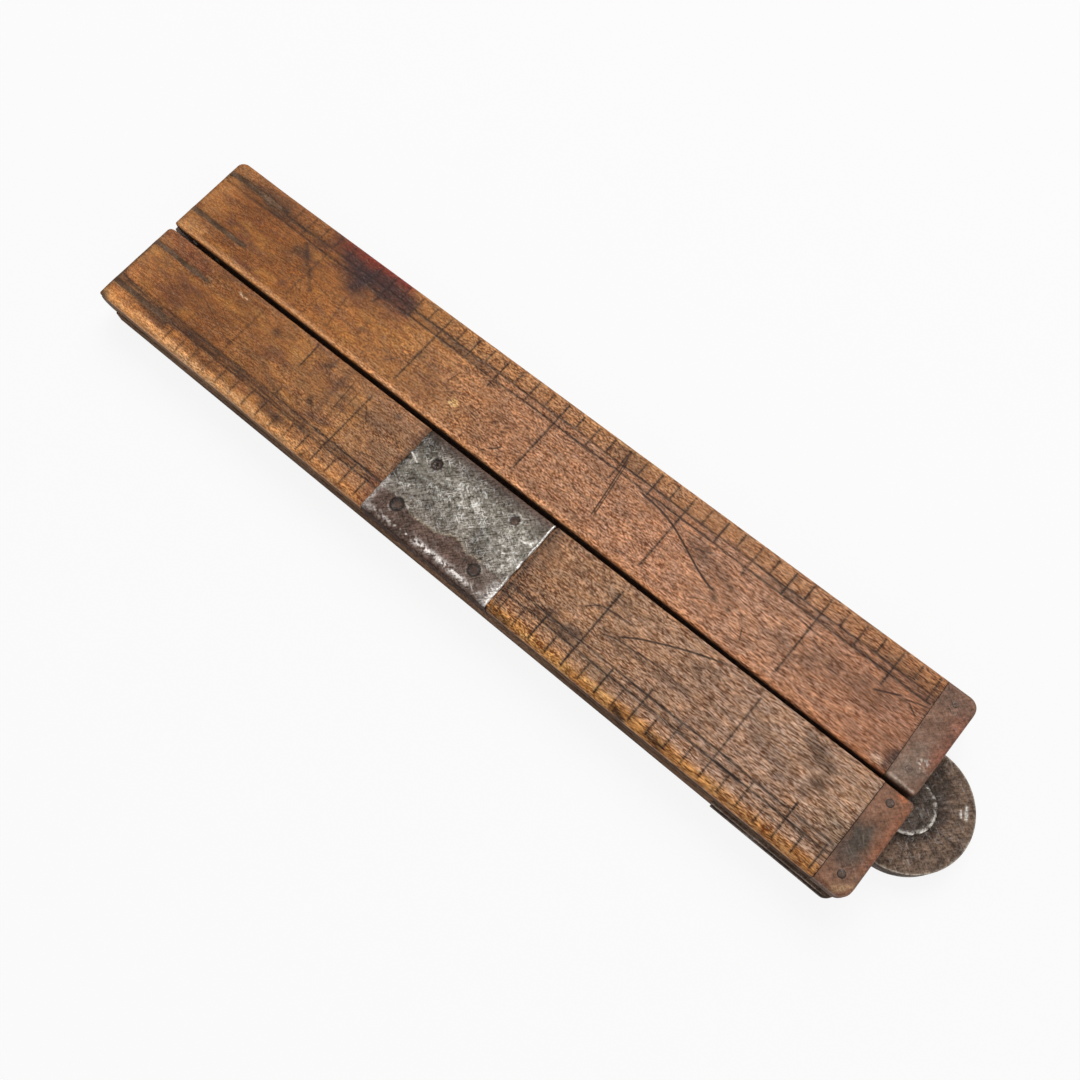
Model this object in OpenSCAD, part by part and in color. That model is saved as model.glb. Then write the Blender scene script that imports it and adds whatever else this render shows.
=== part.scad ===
// Two-foot four-fold wooden rule, folded up.
// Two pairs of legs lie side by side. In each pair the upper leg folds over the lower one on a
// knuckle hinge, and a round joint between the two lower legs opens the pairs like scissors.
// The near upper leg broke once and is mended with a nailed steel sleeve.
// X runs along the legs, from the knuckle hinges to the round joint and the metal tips.
// Y runs across them, from the near pair to the far pair. The rule lies on z = 0.

/* [Legs] */
// Length of one leg, tip included: six inches
leg_l = 152.4; // [100:0.1:200]
// Width of one leg
leg_w = 16.9; // [16.2:0.1:22]
// Thickness of one leg
leg_t = 4; // [3.8:0.1:5]
// Rounding of a leg's long edges
edge_r = 0.6; // [0.2:0.1:0.8]
// Rounding of a leg's corners at the hinge end
hinge_corner_r = 1; // [0.4:0.1:1.6]
// Gap between the two pairs of legs
fold_gap = 0.8; // [0.5:0.1:1.6]
// Gap between an upper and a lower leg
layer_gap = 0.5; // [0.4:0.1:0.9]
// Clearance between a leg's hinge end and the hinge axis
end_clear = 0.1; // [0.05:0.05:0.4]

/* [Graduations] */
// Marks to the inch
divisions = 8; // [8, 16]
// Width of a scribed line
groove_w = 0.22; // [0.15:0.01:0.35]
// Depth of a scribed line
groove_d = 0.12; // [0.05:0.01:0.25]
// Distance from the outer edge at which the marks start
mark_start = 0.8; // [0.7:0.1:1.4]
// Distance from the outer edge to the end of a shortest mark, where the first long line runs
mark_eighth = 3.4; // [2:0.1:3.8]
// Distance from the outer edge to the end of a quarter mark, where the second long line runs
mark_quarter = 4.8; // [4.2:0.1:5.6]
// Distance from the outer edge to the end of a half inch mark
mark_half = 6.6; // [6:0.1:8]
// Distance from the inner edge at which an inch mark ends
mark_inch_end = 1.8; // [1.2:0.1:4]
// Bare length left between a scale and the metal or the bare end beside it
mark_margin = 0.6; // [0.3:0.1:3]

/* [Knuckle hinges] */
// Radius of the knuckle barrel
barrel_r = 1.9; // [1.6:0.1:2.2]
// Room round the barrel in the ends of the wood
barrel_clear = 0.2; // [0.15:0.05:0.4]
// Radius of the knuckle pin
knuckle_pin_r = 0.75; // [0.5:0.05:0.9]
// Running clearance of a pin in its bore
run_clear = 0.03; // [0.02:0.01:0.08]
// Thickness of a strap, which is let into the leg on edge
strap_t = 1; // [0.7:0.1:1.2]
// Length of a strap in the wood
strap_l = 13.4; // [10:0.1:25]
// Distance between the two straps of an upper leg
strap_spacing = 9.6; // [8.6:0.1:10]
// Width of a knuckle of an upper leg
knuckle_w = 2; // [1.4:0.1:2.4]
// Side clearance between two knuckles
knuckle_gap = 0.1; // [0.05:0.05:0.2]
// Distance of the outermost knuckles from a leg's edges
knuckle_inset = 0.3; // [0.1:0.1:0.5]
// Outward shift of the far pair's straps
far_shift = 0.7; // [-0.8:0.1:0.8]
// Outward shift of the near pair's straps
near_shift = 0; // [-0.8:0.1:0.8]
// Radius of the cross pins that hold the straps
cross_pin_r = 0.5; // [0.3:0.05:0.7]
// Distance of the first cross pin from the leg's end
cross_pin_x = 4.2; // [3.4:0.1:5]
// Distance between the two cross pins of a leg
cross_pin_step = 5.6; // [2.5:0.1:6]
// Distance of a cross pin's ends from the leg's edges
cross_pin_inset = 0.1; // [0.05:0.05:0.4]

/* [Round joint] */
// Distance from the lower legs' ends to the pivot
pivot_reach = 0.5; // [0.5:0.05:0.9]
// Radius of the joint's leaves
disc_r = 9.5; // [8:0.1:11]
// Room round the leaves in the wood
disc_clear = 0.2; // [0.1:0.05:0.5]
// Thickness of the top and the bottom leaf
leaf_t = 1.1; // [0.8:0.05:1.25]
// Clearance between two leaves
leaf_gap = 0.05; // [0.03:0.01:0.1]
// Depth of the outer leaves below the faces of the leg
leaf_inset = 0.1; // [0.05:0.05:0.2]
// Length of the leaves' tails along the leg
tail_l = 21; // [18:0.5:30]
// Distance by which a tail stands out of the leg's shrunken outer edge
tail_proud = 0.25; // [0.1:0.05:0.6]
// Rounding of a lower leg's and a tail's outer corner beside the joint
tail_corner_r = 1.6; // [0.5:0.1:3]
// Radius of the pivot
pivot_r = 1.6; // [1.2:0.1:2.2]
// Radius of the pivot's flared foot
foot_r = 2.5; // [2.4:0.1:3.2]
// Height of the flare
foot_h = 0.8; // [0.4:0.05:0.8]
// Radius of the pivot's raised hub
hub_r = 4.1; // [3.4:0.1:5]
// Bevel on the hub's rim
hub_bevel = 0.2; // [0.05:0.05:0.25]
// Clearance between the hub and the upper legs that lie over it
hub_clear = 0.2; // [0.1:0.05:0.3]
// Radius of the rivets in the tails
tail_rivet_r = 0.8; // [0.5:0.05:1.2]
// Distance of the tails' rivets from the leg's edges
tail_rivet_y = 4.2; // [3:0.1:5]
// Distance of the rear rivets from the leg's free end
tail_rivet_rear = 17; // [15:0.1:17]
// Distance of the front rivet from the leg's free end
tail_rivet_front = 5.5; // [3:0.1:8]

/* [Metal tips] */
// Length of a tip
tip_l = 5.3; // [4.6:0.1:8]
// Thickness of a tip's top and bottom
tip_plate_t = 0.8; // [0.5:0.1:1]
// Thickness of a tip's sides
tip_side_t = 0.8; // [0.7:0.1:1.2]
// Thickness of a tip's end
tip_end_t = 1; // [0.7:0.1:1.4]
// Rounding of a tip's outer corner
tip_outer_r = 1.9; // [0.6:0.1:2.4]
// Rounding of a tip's inner corner
tip_inner_r = 0.7; // [0.3:0.1:1.6]
// Radius of the tips' rivets
tip_rivet_r = 0.6; // [0.4:0.05:0.8]
// Distance of the tips' rivets from the leg's end
tip_rivet_x = 2.8; // [2.6:0.1:3.4]
// Distance of the tips' rivets from the leg's edges
tip_rivet_y = 2.5; // [2.2:0.1:4]

/* [Mended leg] */
// Distance from the hinge end to the steel sleeve on the near upper leg
sleeve_x = 61.9; // [25:0.1:64]
// Length of the sleeve
sleeve_l = 26.1; // [20:0.1:34]
// Thickness of the sleeve's sheet
sleeve_t = 0.5; // [0.3:0.05:0.6]
// Distance by which the sleeve stands out of the leg's upper face
sleeve_proud = 0.12; // [0.05:0.01:0.2]
// Width of the sleeve's two lips under the leg
sleeve_lip = 4.5; // [2:0.1:7]
// Length that the leg gained where it was mended, under twice the reach of the pivot
mend_growth = 0.8; // [0.1:0.1:0.9]
// Shift of the scale on the mended leg's first part, towards the knuckle hinge
mend_scale_shift = 0.6; // [0:0.1:1]
// Slant of the break, along the leg
break_slant = 4; // [0:0.5:8]
// Gap left in the break
break_gap = 0.05; // [0.02:0.01:0.2]
// Radius of a nail's shank
nail_r = 0.55; // [0.4:0.05:0.6]
// Radius of a nail's sunk head
nail_head_r = 1.1; // [0.8:0.05:1.2]
// Depth of a nail's head in its hole
nail_sink = 0.12; // [0.05:0.01:0.2]
// Length of a nail below the leg's upper face
nail_l = 3.1; // [1.5:0.1:3.1]

/* [Fits] */
// Clearance of a seated pin or rivet in its hole
seat_clear = 0.02; // [0.01:0.01:0.05]

/* [Hidden] */
$fn = 64;
FAR = 1;
NEAR = -1;
inch = 25.4;
// Overshoot of a cut past the face that it opens
eps = 1;

// Distances along the rule, worked out so that the origin is under the middle of its box
near_l = leg_l + mend_growth;
total_l = barrel_r + end_clear + leg_l + pivot_reach + disc_r;
hinge_x = barrel_r - total_l / 2;
leg_x = hinge_x + end_clear;
total_t = 2 * leg_t + layer_gap;

// In a leg's own frame x runs from its hinge end, y from its inner edge and z from its outer face
hinge_z = leg_t + layer_gap / 2;
pivot_x = leg_l + pivot_reach;
pivot_y = -fold_gap / 2;

// Levels of the joint's leaves above the lower legs' outer face
bottom_leaf_z = leaf_inset;
middle_leaf_z = leaf_inset + leaf_t + leaf_gap;
middle_leaf_t = leg_t - 2 * middle_leaf_z;
top_leaf_z = leg_t - leaf_inset - leaf_t;
leaf_top_z = leg_t - leaf_inset;
hub_z = leg_t + layer_gap - hub_clear;
tail_x = leg_l - tail_l;

// The break lies under the middle of the sleeve
break_x = sleeve_x + sleeve_l / 2;

// Each nail: sleeve end, distance from it, leg edge, distance from it (0 is hinge end or inner edge)
nail_spots = [[0, 4.7, 0, 4.1], [0, 4.4, 1, 3.9], [1, 5.7, 0, 3.4], [1, 5.2, 1, 3.4]];

// Middle of a pair's hinge across its legs
function hinge_mid(side) = leg_w / 2 + (side == FAR ? far_shift : near_shift);

// Knuckles are numbered -2 to 2 from the inner edge: the odd ones are the upper leg's
function knuckle_span(side, i) =
  let (mid = hinge_mid(side), half = knuckle_w / 2, arm = strap_spacing / 2)
  i == 0 ? [mid - arm + half + knuckle_gap, mid + arm - half - knuckle_gap] :
  abs(i) == 1 ? [mid + i * arm - half, mid + i * arm + half] :
  i == 2 ? [mid + arm + half + knuckle_gap, leg_w - knuckle_inset] :
  [knuckle_inset, mid - arm - half - knuckle_gap];

function strap_y(side, i) = (knuckle_span(side, i)[0] + knuckle_span(side, i)[1]) / 2;

// How far a mark reaches from the outer edge, by its rank
function mark_reach(i) =
  i % divisions == 0 ? leg_w - mark_inch_end :
  i % (divisions / 2) == 0 ? mark_half :
  i % (divisions / 4) == 0 ? mark_quarter :
  mark_eighth;

function nail_x(spot) = spot[0] == 0 ? sleeve_x + spot[1] : sleeve_x + sleeve_l - spot[1];
function nail_y(spot) = spot[2] == 0 ? spot[3] : leg_w - spot[3];

// Places a piece that is drawn in a leg's own frame
module in_leg(side, upper = false) {
  translate([leg_x, 0, upper ? total_t : 0])
    mirror([0, 0, upper ? 1 : 0])
      mirror([0, side == NEAR ? 1 : 0, 0])
        translate([0, fold_gap / 2, 0])
          children();
}

// A round bar along x at a height z, from y0 to y1
module bar_y(x, z, r, y0, y1) {
  translate([x, y0, z])
    rotate([-90, 0, 0])
      cylinder(r = r, h = y1 - y0);
}

// Cross-section of a leg with its long edges rounded
module leg_section(w, t, r) {
  translate([r, 0]) square([w - 2 * r, t]);
  translate([0, r]) square([w, t - 2 * r]);
  for (y = [r, w - r])
    for (z = [r, t - r])
      translate([y, z]) circle(r);
}

// What rounding takes off a corner that lies at the origin and opens towards +x and +y
module corner_waste(r) {
  difference() {
    translate([-eps, -eps]) square(r + eps);
    translate([r, r]) circle(r);
  }
}

// A leg's full outer form, with its own rounding for either corner of the free end
module leg_form(l, inner_r, outer_r) {
  difference() {
    rotate([90, 0, 90]) linear_extrude(l) leg_section(leg_w, leg_t, edge_r);
    translate([0, 0, -eps])
      linear_extrude(leg_t + 2 * eps) {
        corner_waste(hinge_corner_r);
        translate([0, leg_w]) mirror([0, 1]) corner_waste(hinge_corner_r);
        translate([l, 0]) mirror([1, 0]) corner_waste(inner_r);
        translate([l, leg_w]) mirror([1, 0]) mirror([0, 1]) corner_waste(outer_r);
      }
  }
}

// Part of a leg's form between two distances from the hinge end
module leg_span(l, x0, x1, inner_r = hinge_corner_r, outer_r = hinge_corner_r) {
  intersection() {
    leg_form(l, inner_r, outer_r);
    translate([x0, -eps, -eps]) cube([x1 - x0, leg_w + 2 * eps, leg_t + 2 * eps]);
  }
}

// Outline of a scale up to x1, with marks counted back from x_zero and two long lines
module scale_lines(x1, x_zero) {
  step = inch / divisions;
  x0 = strap_l + mark_margin;
  for (i = [0 : floor(x_zero / step)])
    if (x_zero - i * step > x0 && x_zero - i * step < x1)
      translate([x_zero - i * step - groove_w / 2, leg_w - mark_reach(i)])
        square([groove_w, mark_reach(i) - mark_start]);
  translate([x0, leg_w - mark_eighth - groove_w / 2])
    square([x1 - x0, groove_w]);
  translate([mark_margin, leg_w - mark_quarter - groove_w / 2])
    square([x1 - mark_margin, groove_w]);
}

// The same scale scribed in both faces of a leg
module scribed_scales(x1, x_zero) {
  for (z = [-eps, leg_t - groove_d])
    translate([0, 0, z])
      linear_extrude(groove_d + eps)
        scale_lines(x1, x_zero);
}

// Everything that the knuckle hinge takes out of a leg's end
module hinge_waste(side, knuckles) {
  bar_y(-end_clear, hinge_z, barrel_r + barrel_clear, -eps, leg_w + eps);
  for (i = knuckles)
    translate([-eps, strap_y(side, i) - strap_t / 2 - seat_clear, -eps])
      cube([strap_l + seat_clear + eps, strap_t + 2 * seat_clear, leg_t + 2 * eps]);
  for (n = [0, 1])
    bar_y(cross_pin_x + n * cross_pin_step, leg_t / 2, cross_pin_r + seat_clear, -eps, leg_w + eps);
}

// One strap with its knuckle
module strap(side, i) {
  span = knuckle_span(side, i);
  difference() {
    union() {
      translate([0, strap_y(side, i) - strap_t / 2, 0]) cube([strap_l, strap_t, leg_t]);
      bar_y(-end_clear, hinge_z, barrel_r, span[0], span[1]);
    }
    bar_y(-end_clear, hinge_z, knuckle_pin_r + run_clear, span[0] - eps, span[1] + eps);
    for (n = [0, 1])
      bar_y(cross_pin_x + n * cross_pin_step, leg_t / 2, cross_pin_r + seat_clear, span[0] - eps,
        span[1] + eps);
  }
}

module cross_pins() {
  for (n = [0, 1])
    bar_y(cross_pin_x + n * cross_pin_step, leg_t / 2, cross_pin_r, cross_pin_inset,
      leg_w - cross_pin_inset);
}

module knuckle_pin() {
  bar_y(-end_clear, hinge_z, knuckle_pin_r, knuckle_inset, leg_w - knuckle_inset);
}

// Upright holes or pins at the places of a tip's rivets
module at_tip_rivets(l) {
  for (y = [tip_rivet_y, leg_w - tip_rivet_y])
    translate([l - tip_rivet_x, y, 0])
      children();
}

// Wooden tongue that fills a tip
module tip_tongue(l) {
  translate([l - tip_l - eps, tip_side_t + seat_clear, tip_plate_t + seat_clear])
    cube([tip_l - tip_end_t - seat_clear + eps, leg_w - 2 * (tip_side_t + seat_clear),
      leg_t - 2 * (tip_plate_t + seat_clear)]);
}

module rivet_hole(r) {
  translate([0, 0, -eps]) cylinder(r = r + seat_clear, h = leg_t + 2 * eps);
}

// A metal cap on a leg's free end, open towards the wood
module tip(l) {
  difference() {
    leg_span(l, l - tip_l, l + eps, tip_inner_r, tip_outer_r);
    translate([l - tip_l - eps, tip_side_t, tip_plate_t])
      cube([tip_l - tip_end_t + eps, leg_w - 2 * tip_side_t, leg_t - 2 * tip_plate_t]);
    at_tip_rivets(l) rivet_hole(tip_rivet_r);
  }
}

module tip_rivets(l) {
  at_tip_rivets(l) cylinder(r = tip_rivet_r, h = leg_t);
}

// Upright holes or rivets in the joint's tails
module at_tail_rivets() {
  for (spot = [[tail_rivet_rear, tail_rivet_y], [tail_rivet_rear, leg_w - tail_rivet_y],
      [tail_rivet_front, leg_w - tail_rivet_y]])
    translate([leg_l - spot[0], spot[1], 0])
      children();
}

module pivot_bore(r) {
  translate([pivot_x, pivot_y, -eps]) cylinder(r = r, h = leg_t + 2 * eps);
}

// Outline of a leaf: a disc about the pivot and a tail on the leg
module leaf_outline() {
  translate([pivot_x, pivot_y]) circle(disc_r);
  difference() {
    translate([tail_x, 0]) square([tail_l, leg_w + tail_proud]);
    translate([leg_l, leg_w + tail_proud]) mirror([1, 0]) mirror([0, 1]) corner_waste(tail_corner_r);
  }
}

module leaf(z, t, bore_r) {
  difference() {
    translate([0, 0, z]) linear_extrude(t) leaf_outline();
    pivot_bore(bore_r);
    at_tail_rivets() rivet_hole(tail_rivet_r);
  }
}

// Room for a tail in the wood, from one level to another
module tail_waste(z0, z1) {
  translate([tail_x - seat_clear, -eps, z0])
    cube([tail_l + eps, leg_w + 2 * eps, z1 - z0]);
}

// What the joint takes out of both lower legs
module joint_waste() {
  pivot_bore(disc_r + disc_clear);
  at_tail_rivets() rivet_hole(tail_rivet_r);
}

// Cross-section of the sleeve, or of the room for it with some clearance
module sleeve_section(clear = 0) {
  difference() {
    translate([0, -sleeve_proud]) leg_section(leg_w, leg_t + sleeve_proud, edge_r);
    translate([sleeve_t + clear, sleeve_t - sleeve_proud + clear])
      square([leg_w - 2 * (sleeve_t + clear), leg_t - 2 * sleeve_t + sleeve_proud - 2 * clear]);
    translate([sleeve_lip + clear, leg_t - sleeve_t - eps])
      square([leg_w - 2 * (sleeve_lip + clear), sleeve_t + 2 * eps]);
  }
}

// Room for the sleeve all round the wood, but for the strip between its lips
module sleeve_waste() {
  translate([sleeve_x - seat_clear, 0, 0])
    rotate([90, 0, 90])
      linear_extrude(sleeve_l + 2 * seat_clear)
        difference() {
          translate([-eps, -eps]) square([leg_w + 2 * eps, leg_t + 2 * eps]);
          translate([sleeve_t + seat_clear, sleeve_t - sleeve_proud + seat_clear])
            square([leg_w - 2 * (sleeve_t + seat_clear),
              leg_t - 2 * sleeve_t + sleeve_proud - 2 * seat_clear]);
          translate([sleeve_lip + seat_clear, leg_t / 2])
            square([leg_w - 2 * (sleeve_lip + seat_clear), leg_t / 2]);
        }
}

// Shape of a nail, or of its hole with some clearance
module nail(clear = 0) {
  head_z = nail_sink - sleeve_proud;
  seat_z = sleeve_t - sleeve_proud;
  translate([0, 0, head_z])
    cylinder(r1 = nail_head_r + clear, r2 = nail_r + clear, h = seat_z - head_z);
  translate([0, 0, seat_z])
    cylinder(r = nail_r + clear, h = nail_l - seat_z + clear);
}

// One side of the slanted break, as a block: the hinge part's room or the tip part's
module break_block(x_far, x_shift) {
  translate([0, leg_w + eps, 0])
    rotate([90, 0, 0])
      linear_extrude(leg_w + 2 * eps)
        polygon([
          [break_x - break_slant / 2 + x_shift, -eps],
          [break_x + break_slant / 2 + x_shift, leg_t + eps],
          [x_far, leg_t + eps],
          [x_far, -eps]
        ]);
}

// Wood of the mended leg before it is parted at the break
module mended_wood(x_zero) {
  difference() {
    union() {
      leg_span(near_l, 0, near_l - tip_l);
      tip_tongue(near_l);
    }
    hinge_waste(NEAR, [-1, 1]);
    sleeve_waste();
    for (spot = nail_spots)
      translate([nail_x(spot), nail_y(spot), 0]) nail(seat_clear);
    at_tip_rivets(near_l) rivet_hole(tip_rivet_r);
    scribed_scales(near_l - tip_l - mark_margin, x_zero);
  }
}

module far_lower_leg() {
  color("#8a6038")
    in_leg(FAR)
      difference() {
        leg_form(leg_l, tip_inner_r, tail_corner_r);
        hinge_waste(FAR, [-2, 0, 2]);
        joint_waste();
        tail_waste(middle_leaf_z - seat_clear, middle_leaf_z + middle_leaf_t + seat_clear);
        scribed_scales(tail_x - mark_margin, leg_l);
      }
}

module near_lower_leg() {
  color("#8a6038")
    in_leg(NEAR)
      difference() {
        leg_form(leg_l, tip_inner_r, tail_corner_r);
        hinge_waste(NEAR, [-2, 0, 2]);
        joint_waste();
        tail_waste(-eps, bottom_leaf_z + leaf_t);
        tail_waste(top_leaf_z, leg_t + eps);
        scribed_scales(tail_x - mark_margin, leg_l);
      }
}

module far_upper_leg() {
  color("#a8713f")
    in_leg(FAR, upper = true)
      difference() {
        union() {
          leg_span(leg_l, 0, leg_l - tip_l);
          tip_tongue(leg_l);
        }
        hinge_waste(FAR, [-1, 1]);
        at_tip_rivets(leg_l) rivet_hole(tip_rivet_r);
        scribed_scales(leg_l - tip_l - mark_margin, leg_l);
      }
}

module near_upper_leg_hinge_part() {
  color("#a06a3a")
    in_leg(NEAR, upper = true)
      difference() {
        mended_wood(leg_l - mend_scale_shift);
        break_block(near_l + eps, -break_gap / 2);
      }
}

module near_upper_leg_tip_part() {
  color("#8e6c49")
    in_leg(NEAR, upper = true)
      intersection() {
        mended_wood(near_l);
        break_block(near_l + eps, break_gap / 2);
      }
}

module splice_sleeve() {
  color("#85868a")
    in_leg(NEAR, upper = true)
      difference() {
        translate([sleeve_x, 0, 0])
          rotate([90, 0, 90])
            linear_extrude(sleeve_l)
              sleeve_section();
        for (spot = nail_spots)
          translate([nail_x(spot), nail_y(spot), 0]) {
            nail(seat_clear);
            translate([0, 0, -sleeve_proud - eps])
              cylinder(r = nail_head_r + seat_clear, h = nail_sink + eps);
          }
      }
}

module splice_nails() {
  color("#4b3a30")
    in_leg(NEAR, upper = true)
      for (spot = nail_spots)
        translate([nail_x(spot), nail_y(spot), 0]) nail();
}

module far_tip() {
  color("#84553f") in_leg(FAR, upper = true) tip(leg_l);
}

module near_tip() {
  color("#84553f") in_leg(NEAR, upper = true) tip(near_l);
}

module far_tip_rivets() {
  color("#6f4a38") in_leg(FAR, upper = true) tip_rivets(leg_l);
}

module near_tip_rivets() {
  color("#6f4a38") in_leg(NEAR, upper = true) tip_rivets(near_l);
}

// The flare under the bottom leaf, or the room for it
module foot_flare(clear = 0) {
  translate([pivot_x, pivot_y, bottom_leaf_z])
    cylinder(r1 = foot_r + clear, r2 = pivot_r + clear, h = foot_h);
}

module joint_top_leaf() {
  color("#6d6352") in_leg(NEAR) leaf(top_leaf_z, leaf_t, pivot_r + seat_clear);
}

module joint_middle_leaf() {
  color("#6d6352") in_leg(FAR) leaf(middle_leaf_z, middle_leaf_t, pivot_r + run_clear);
}

module joint_bottom_leaf() {
  color("#6d6352")
    in_leg(NEAR)
      difference() {
        leaf(bottom_leaf_z, leaf_t, pivot_r + seat_clear);
        foot_flare(seat_clear);
      }
}

// A rivet with a flush foot and a broad raised hub
module joint_pivot() {
  color("#4d4f4c")
    in_leg(NEAR) {
      foot_flare();
      translate([pivot_x, pivot_y, 0])
        rotate_extrude()
          polygon([
            [0, bottom_leaf_z],
            [pivot_r, bottom_leaf_z],
            [pivot_r, leaf_top_z],
            [hub_r, leaf_top_z],
            [hub_r, hub_z - hub_bevel],
            [hub_r - hub_bevel, hub_z],
            [0, hub_z]
          ]);
    }
}

module far_tail_rivets() {
  color("#5f5648") in_leg(FAR) at_tail_rivets() cylinder(r = tail_rivet_r, h = leg_t);
}

module near_tail_rivets() {
  color("#5f5648")
    in_leg(NEAR)
      at_tail_rivets()
        translate([0, 0, leaf_inset]) cylinder(r = tail_rivet_r, h = leg_t - 2 * leaf_inset);
}

module far_knuckle_pin() {
  color("#5a5a55") in_leg(FAR) knuckle_pin();
}

module near_knuckle_pin() {
  color("#5a5a55") in_leg(NEAR) knuckle_pin();
}

module far_upper_strap_outer() {
  color("#6a664e") in_leg(FAR, upper = true) strap(FAR, 1);
}

module far_upper_strap_inner() {
  color("#6a664e") in_leg(FAR, upper = true) strap(FAR, -1);
}

module far_lower_strap_outer() {
  color("#6a664e") in_leg(FAR) strap(FAR, 2);
}

module far_lower_strap_middle() {
  color("#6a664e") in_leg(FAR) strap(FAR, 0);
}

module far_lower_strap_inner() {
  color("#6a664e") in_leg(FAR) strap(FAR, -2);
}

module near_upper_strap_outer() {
  color("#6a664e") in_leg(NEAR, upper = true) strap(NEAR, 1);
}

module near_upper_strap_inner() {
  color("#6a664e") in_leg(NEAR, upper = true) strap(NEAR, -1);
}

module near_lower_strap_outer() {
  color("#6a664e") in_leg(NEAR) strap(NEAR, 2);
}

module near_lower_strap_middle() {
  color("#6a664e") in_leg(NEAR) strap(NEAR, 0);
}

module near_lower_strap_inner() {
  color("#6a664e") in_leg(NEAR) strap(NEAR, -2);
}

module far_upper_cross_pins() {
  color("#6f6a58") in_leg(FAR, upper = true) cross_pins();
}

module far_lower_cross_pins() {
  color("#6f6a58") in_leg(FAR) cross_pins();
}

module near_upper_cross_pins() {
  color("#6f6a58") in_leg(NEAR, upper = true) cross_pins();
}

module near_lower_cross_pins() {
  color("#6f6a58") in_leg(NEAR) cross_pins();
}

far_lower_leg();
near_lower_leg();
far_upper_leg();
near_upper_leg_hinge_part();
near_upper_leg_tip_part();
splice_sleeve();
splice_nails();
far_tip();
near_tip();
far_tip_rivets();
near_tip_rivets();
joint_top_leaf();
joint_middle_leaf();
joint_bottom_leaf();
joint_pivot();
far_tail_rivets();
near_tail_rivets();
far_knuckle_pin();
near_knuckle_pin();
far_upper_strap_outer();
far_upper_strap_inner();
far_lower_strap_outer();
far_lower_strap_middle();
far_lower_strap_inner();
near_upper_strap_outer();
near_upper_strap_inner();
near_lower_strap_outer();
near_lower_strap_middle();
near_lower_strap_inner();
far_upper_cross_pins();
far_lower_cross_pins();
near_upper_cross_pins();
near_lower_cross_pins();
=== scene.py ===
# %% [markdown]
# # An old folding rule
# A carpenter's rule lies folded on a white table. Four wooden legs are joined by two knuckle hinges
# and a round joint, the free ends have metal tips, and a nailed steel sleeve mends one leg.
# The exact solids are loaded first. The worn wood, the dented sleeve, the tips
# and the joint are then made again with the marks of long use, each in the place of its solid.

# %% Load the solids
import math
import bpy
import numpy as np
from mathutils import Euler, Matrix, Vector


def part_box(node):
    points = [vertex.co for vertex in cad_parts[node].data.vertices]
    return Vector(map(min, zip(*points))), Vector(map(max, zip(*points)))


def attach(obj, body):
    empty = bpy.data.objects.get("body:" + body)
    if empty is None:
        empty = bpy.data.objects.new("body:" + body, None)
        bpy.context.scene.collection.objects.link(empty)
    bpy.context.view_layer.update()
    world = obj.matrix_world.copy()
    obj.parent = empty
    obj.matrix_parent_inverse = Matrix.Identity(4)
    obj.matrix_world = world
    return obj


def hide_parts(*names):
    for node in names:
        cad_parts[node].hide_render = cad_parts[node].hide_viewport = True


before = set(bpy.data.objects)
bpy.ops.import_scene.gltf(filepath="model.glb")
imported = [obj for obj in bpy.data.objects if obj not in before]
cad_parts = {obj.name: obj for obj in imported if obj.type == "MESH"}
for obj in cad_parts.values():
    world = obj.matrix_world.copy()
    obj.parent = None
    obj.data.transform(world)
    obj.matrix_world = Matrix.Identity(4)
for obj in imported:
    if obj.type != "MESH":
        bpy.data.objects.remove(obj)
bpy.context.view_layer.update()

MM = 0.001

# %% [markdown]
# ## Camera
# The whole-inch marks of the two upper legs show how the rule was seen: from 17 cm above, a little
# in front of it, with the hinges at the upper left and the tips at the lower right. Lens and angles
# come from a fit to them.

# %% Camera
SEEN_FROM = (0.05269, -0.04427, 0.17067)
SEEN_TURN = (20.387, 2.918, 40.519)
LENS, SENSOR = 37.74, 36.0

camera_data = bpy.data.cameras.new("camera")
camera_data.lens, camera_data.sensor_width = LENS, SENSOR
camera_data.clip_start, camera_data.clip_end = 0.01, 10.0
camera = bpy.data.objects.new("camera", camera_data)
camera.location = SEEN_FROM
camera.rotation_euler = Euler([math.radians(a) for a in SEEN_TURN], "XYZ")
bpy.context.scene.collection.objects.link(camera)
bpy.context.scene.camera = camera
bpy.context.scene.view_settings.view_transform = "Standard"
print("camera height above the table:", round(camera.location.z / MM), "mm")

# %% [markdown]
# ## Colours
# Colours are written here as they look on a screen, 0 to 255, because that is how a maker reads them
# off a reference. Blender reckons in linear light, so one function turns them over, once for all.

# %% Colours
def linear(*rgb):
    """Screen colour 0 to 255 as linear light: ((c + 0.055) / 1.055) to the power 2.4."""
    c = np.asarray(rgb, float) / 255
    return np.where(c <= 0.04045, c / 12.92, ((c + 0.055) / 1.055) ** 2.4)


def rgba(colour, factor=1.0):
    """The same colour as four numbers for a socket, its light times a factor."""
    return (*[factor * float(v) for v in linear(*colour)], 1.0)


WHITE = (1.0, 1.0, 1.0, 1.0)
print("a middle screen grey is", round(float(linear(128)[0]), 3), "of white in light")

# %% [markdown]
# ## Wires between nodes
# Every finish is a small tree of nodes. Written plainly, each sum takes a line to add the node and
# more to link it. So a node's output is wrapped here in a wire, which adds and multiplies like a
# number and puts in the Math node by itself, and a finish then reads like the formula that it is.

# %% Wires
class Wire:
    """A node's output. a + b, a - b, a * b and abs(a) each add one Math node."""

    def __init__(self, socket):
        self.socket = socket

    def __add__(self, other):
        return reckon("ADD", self, other)

    def __sub__(self, other):
        return reckon("SUBTRACT", self, other)

    def __rsub__(self, other):
        return reckon("SUBTRACT", other, self)

    def __mul__(self, other):
        return reckon("MULTIPLY", self, other)

    def __abs__(self):
        return reckon("ABSOLUTE", self)


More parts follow.
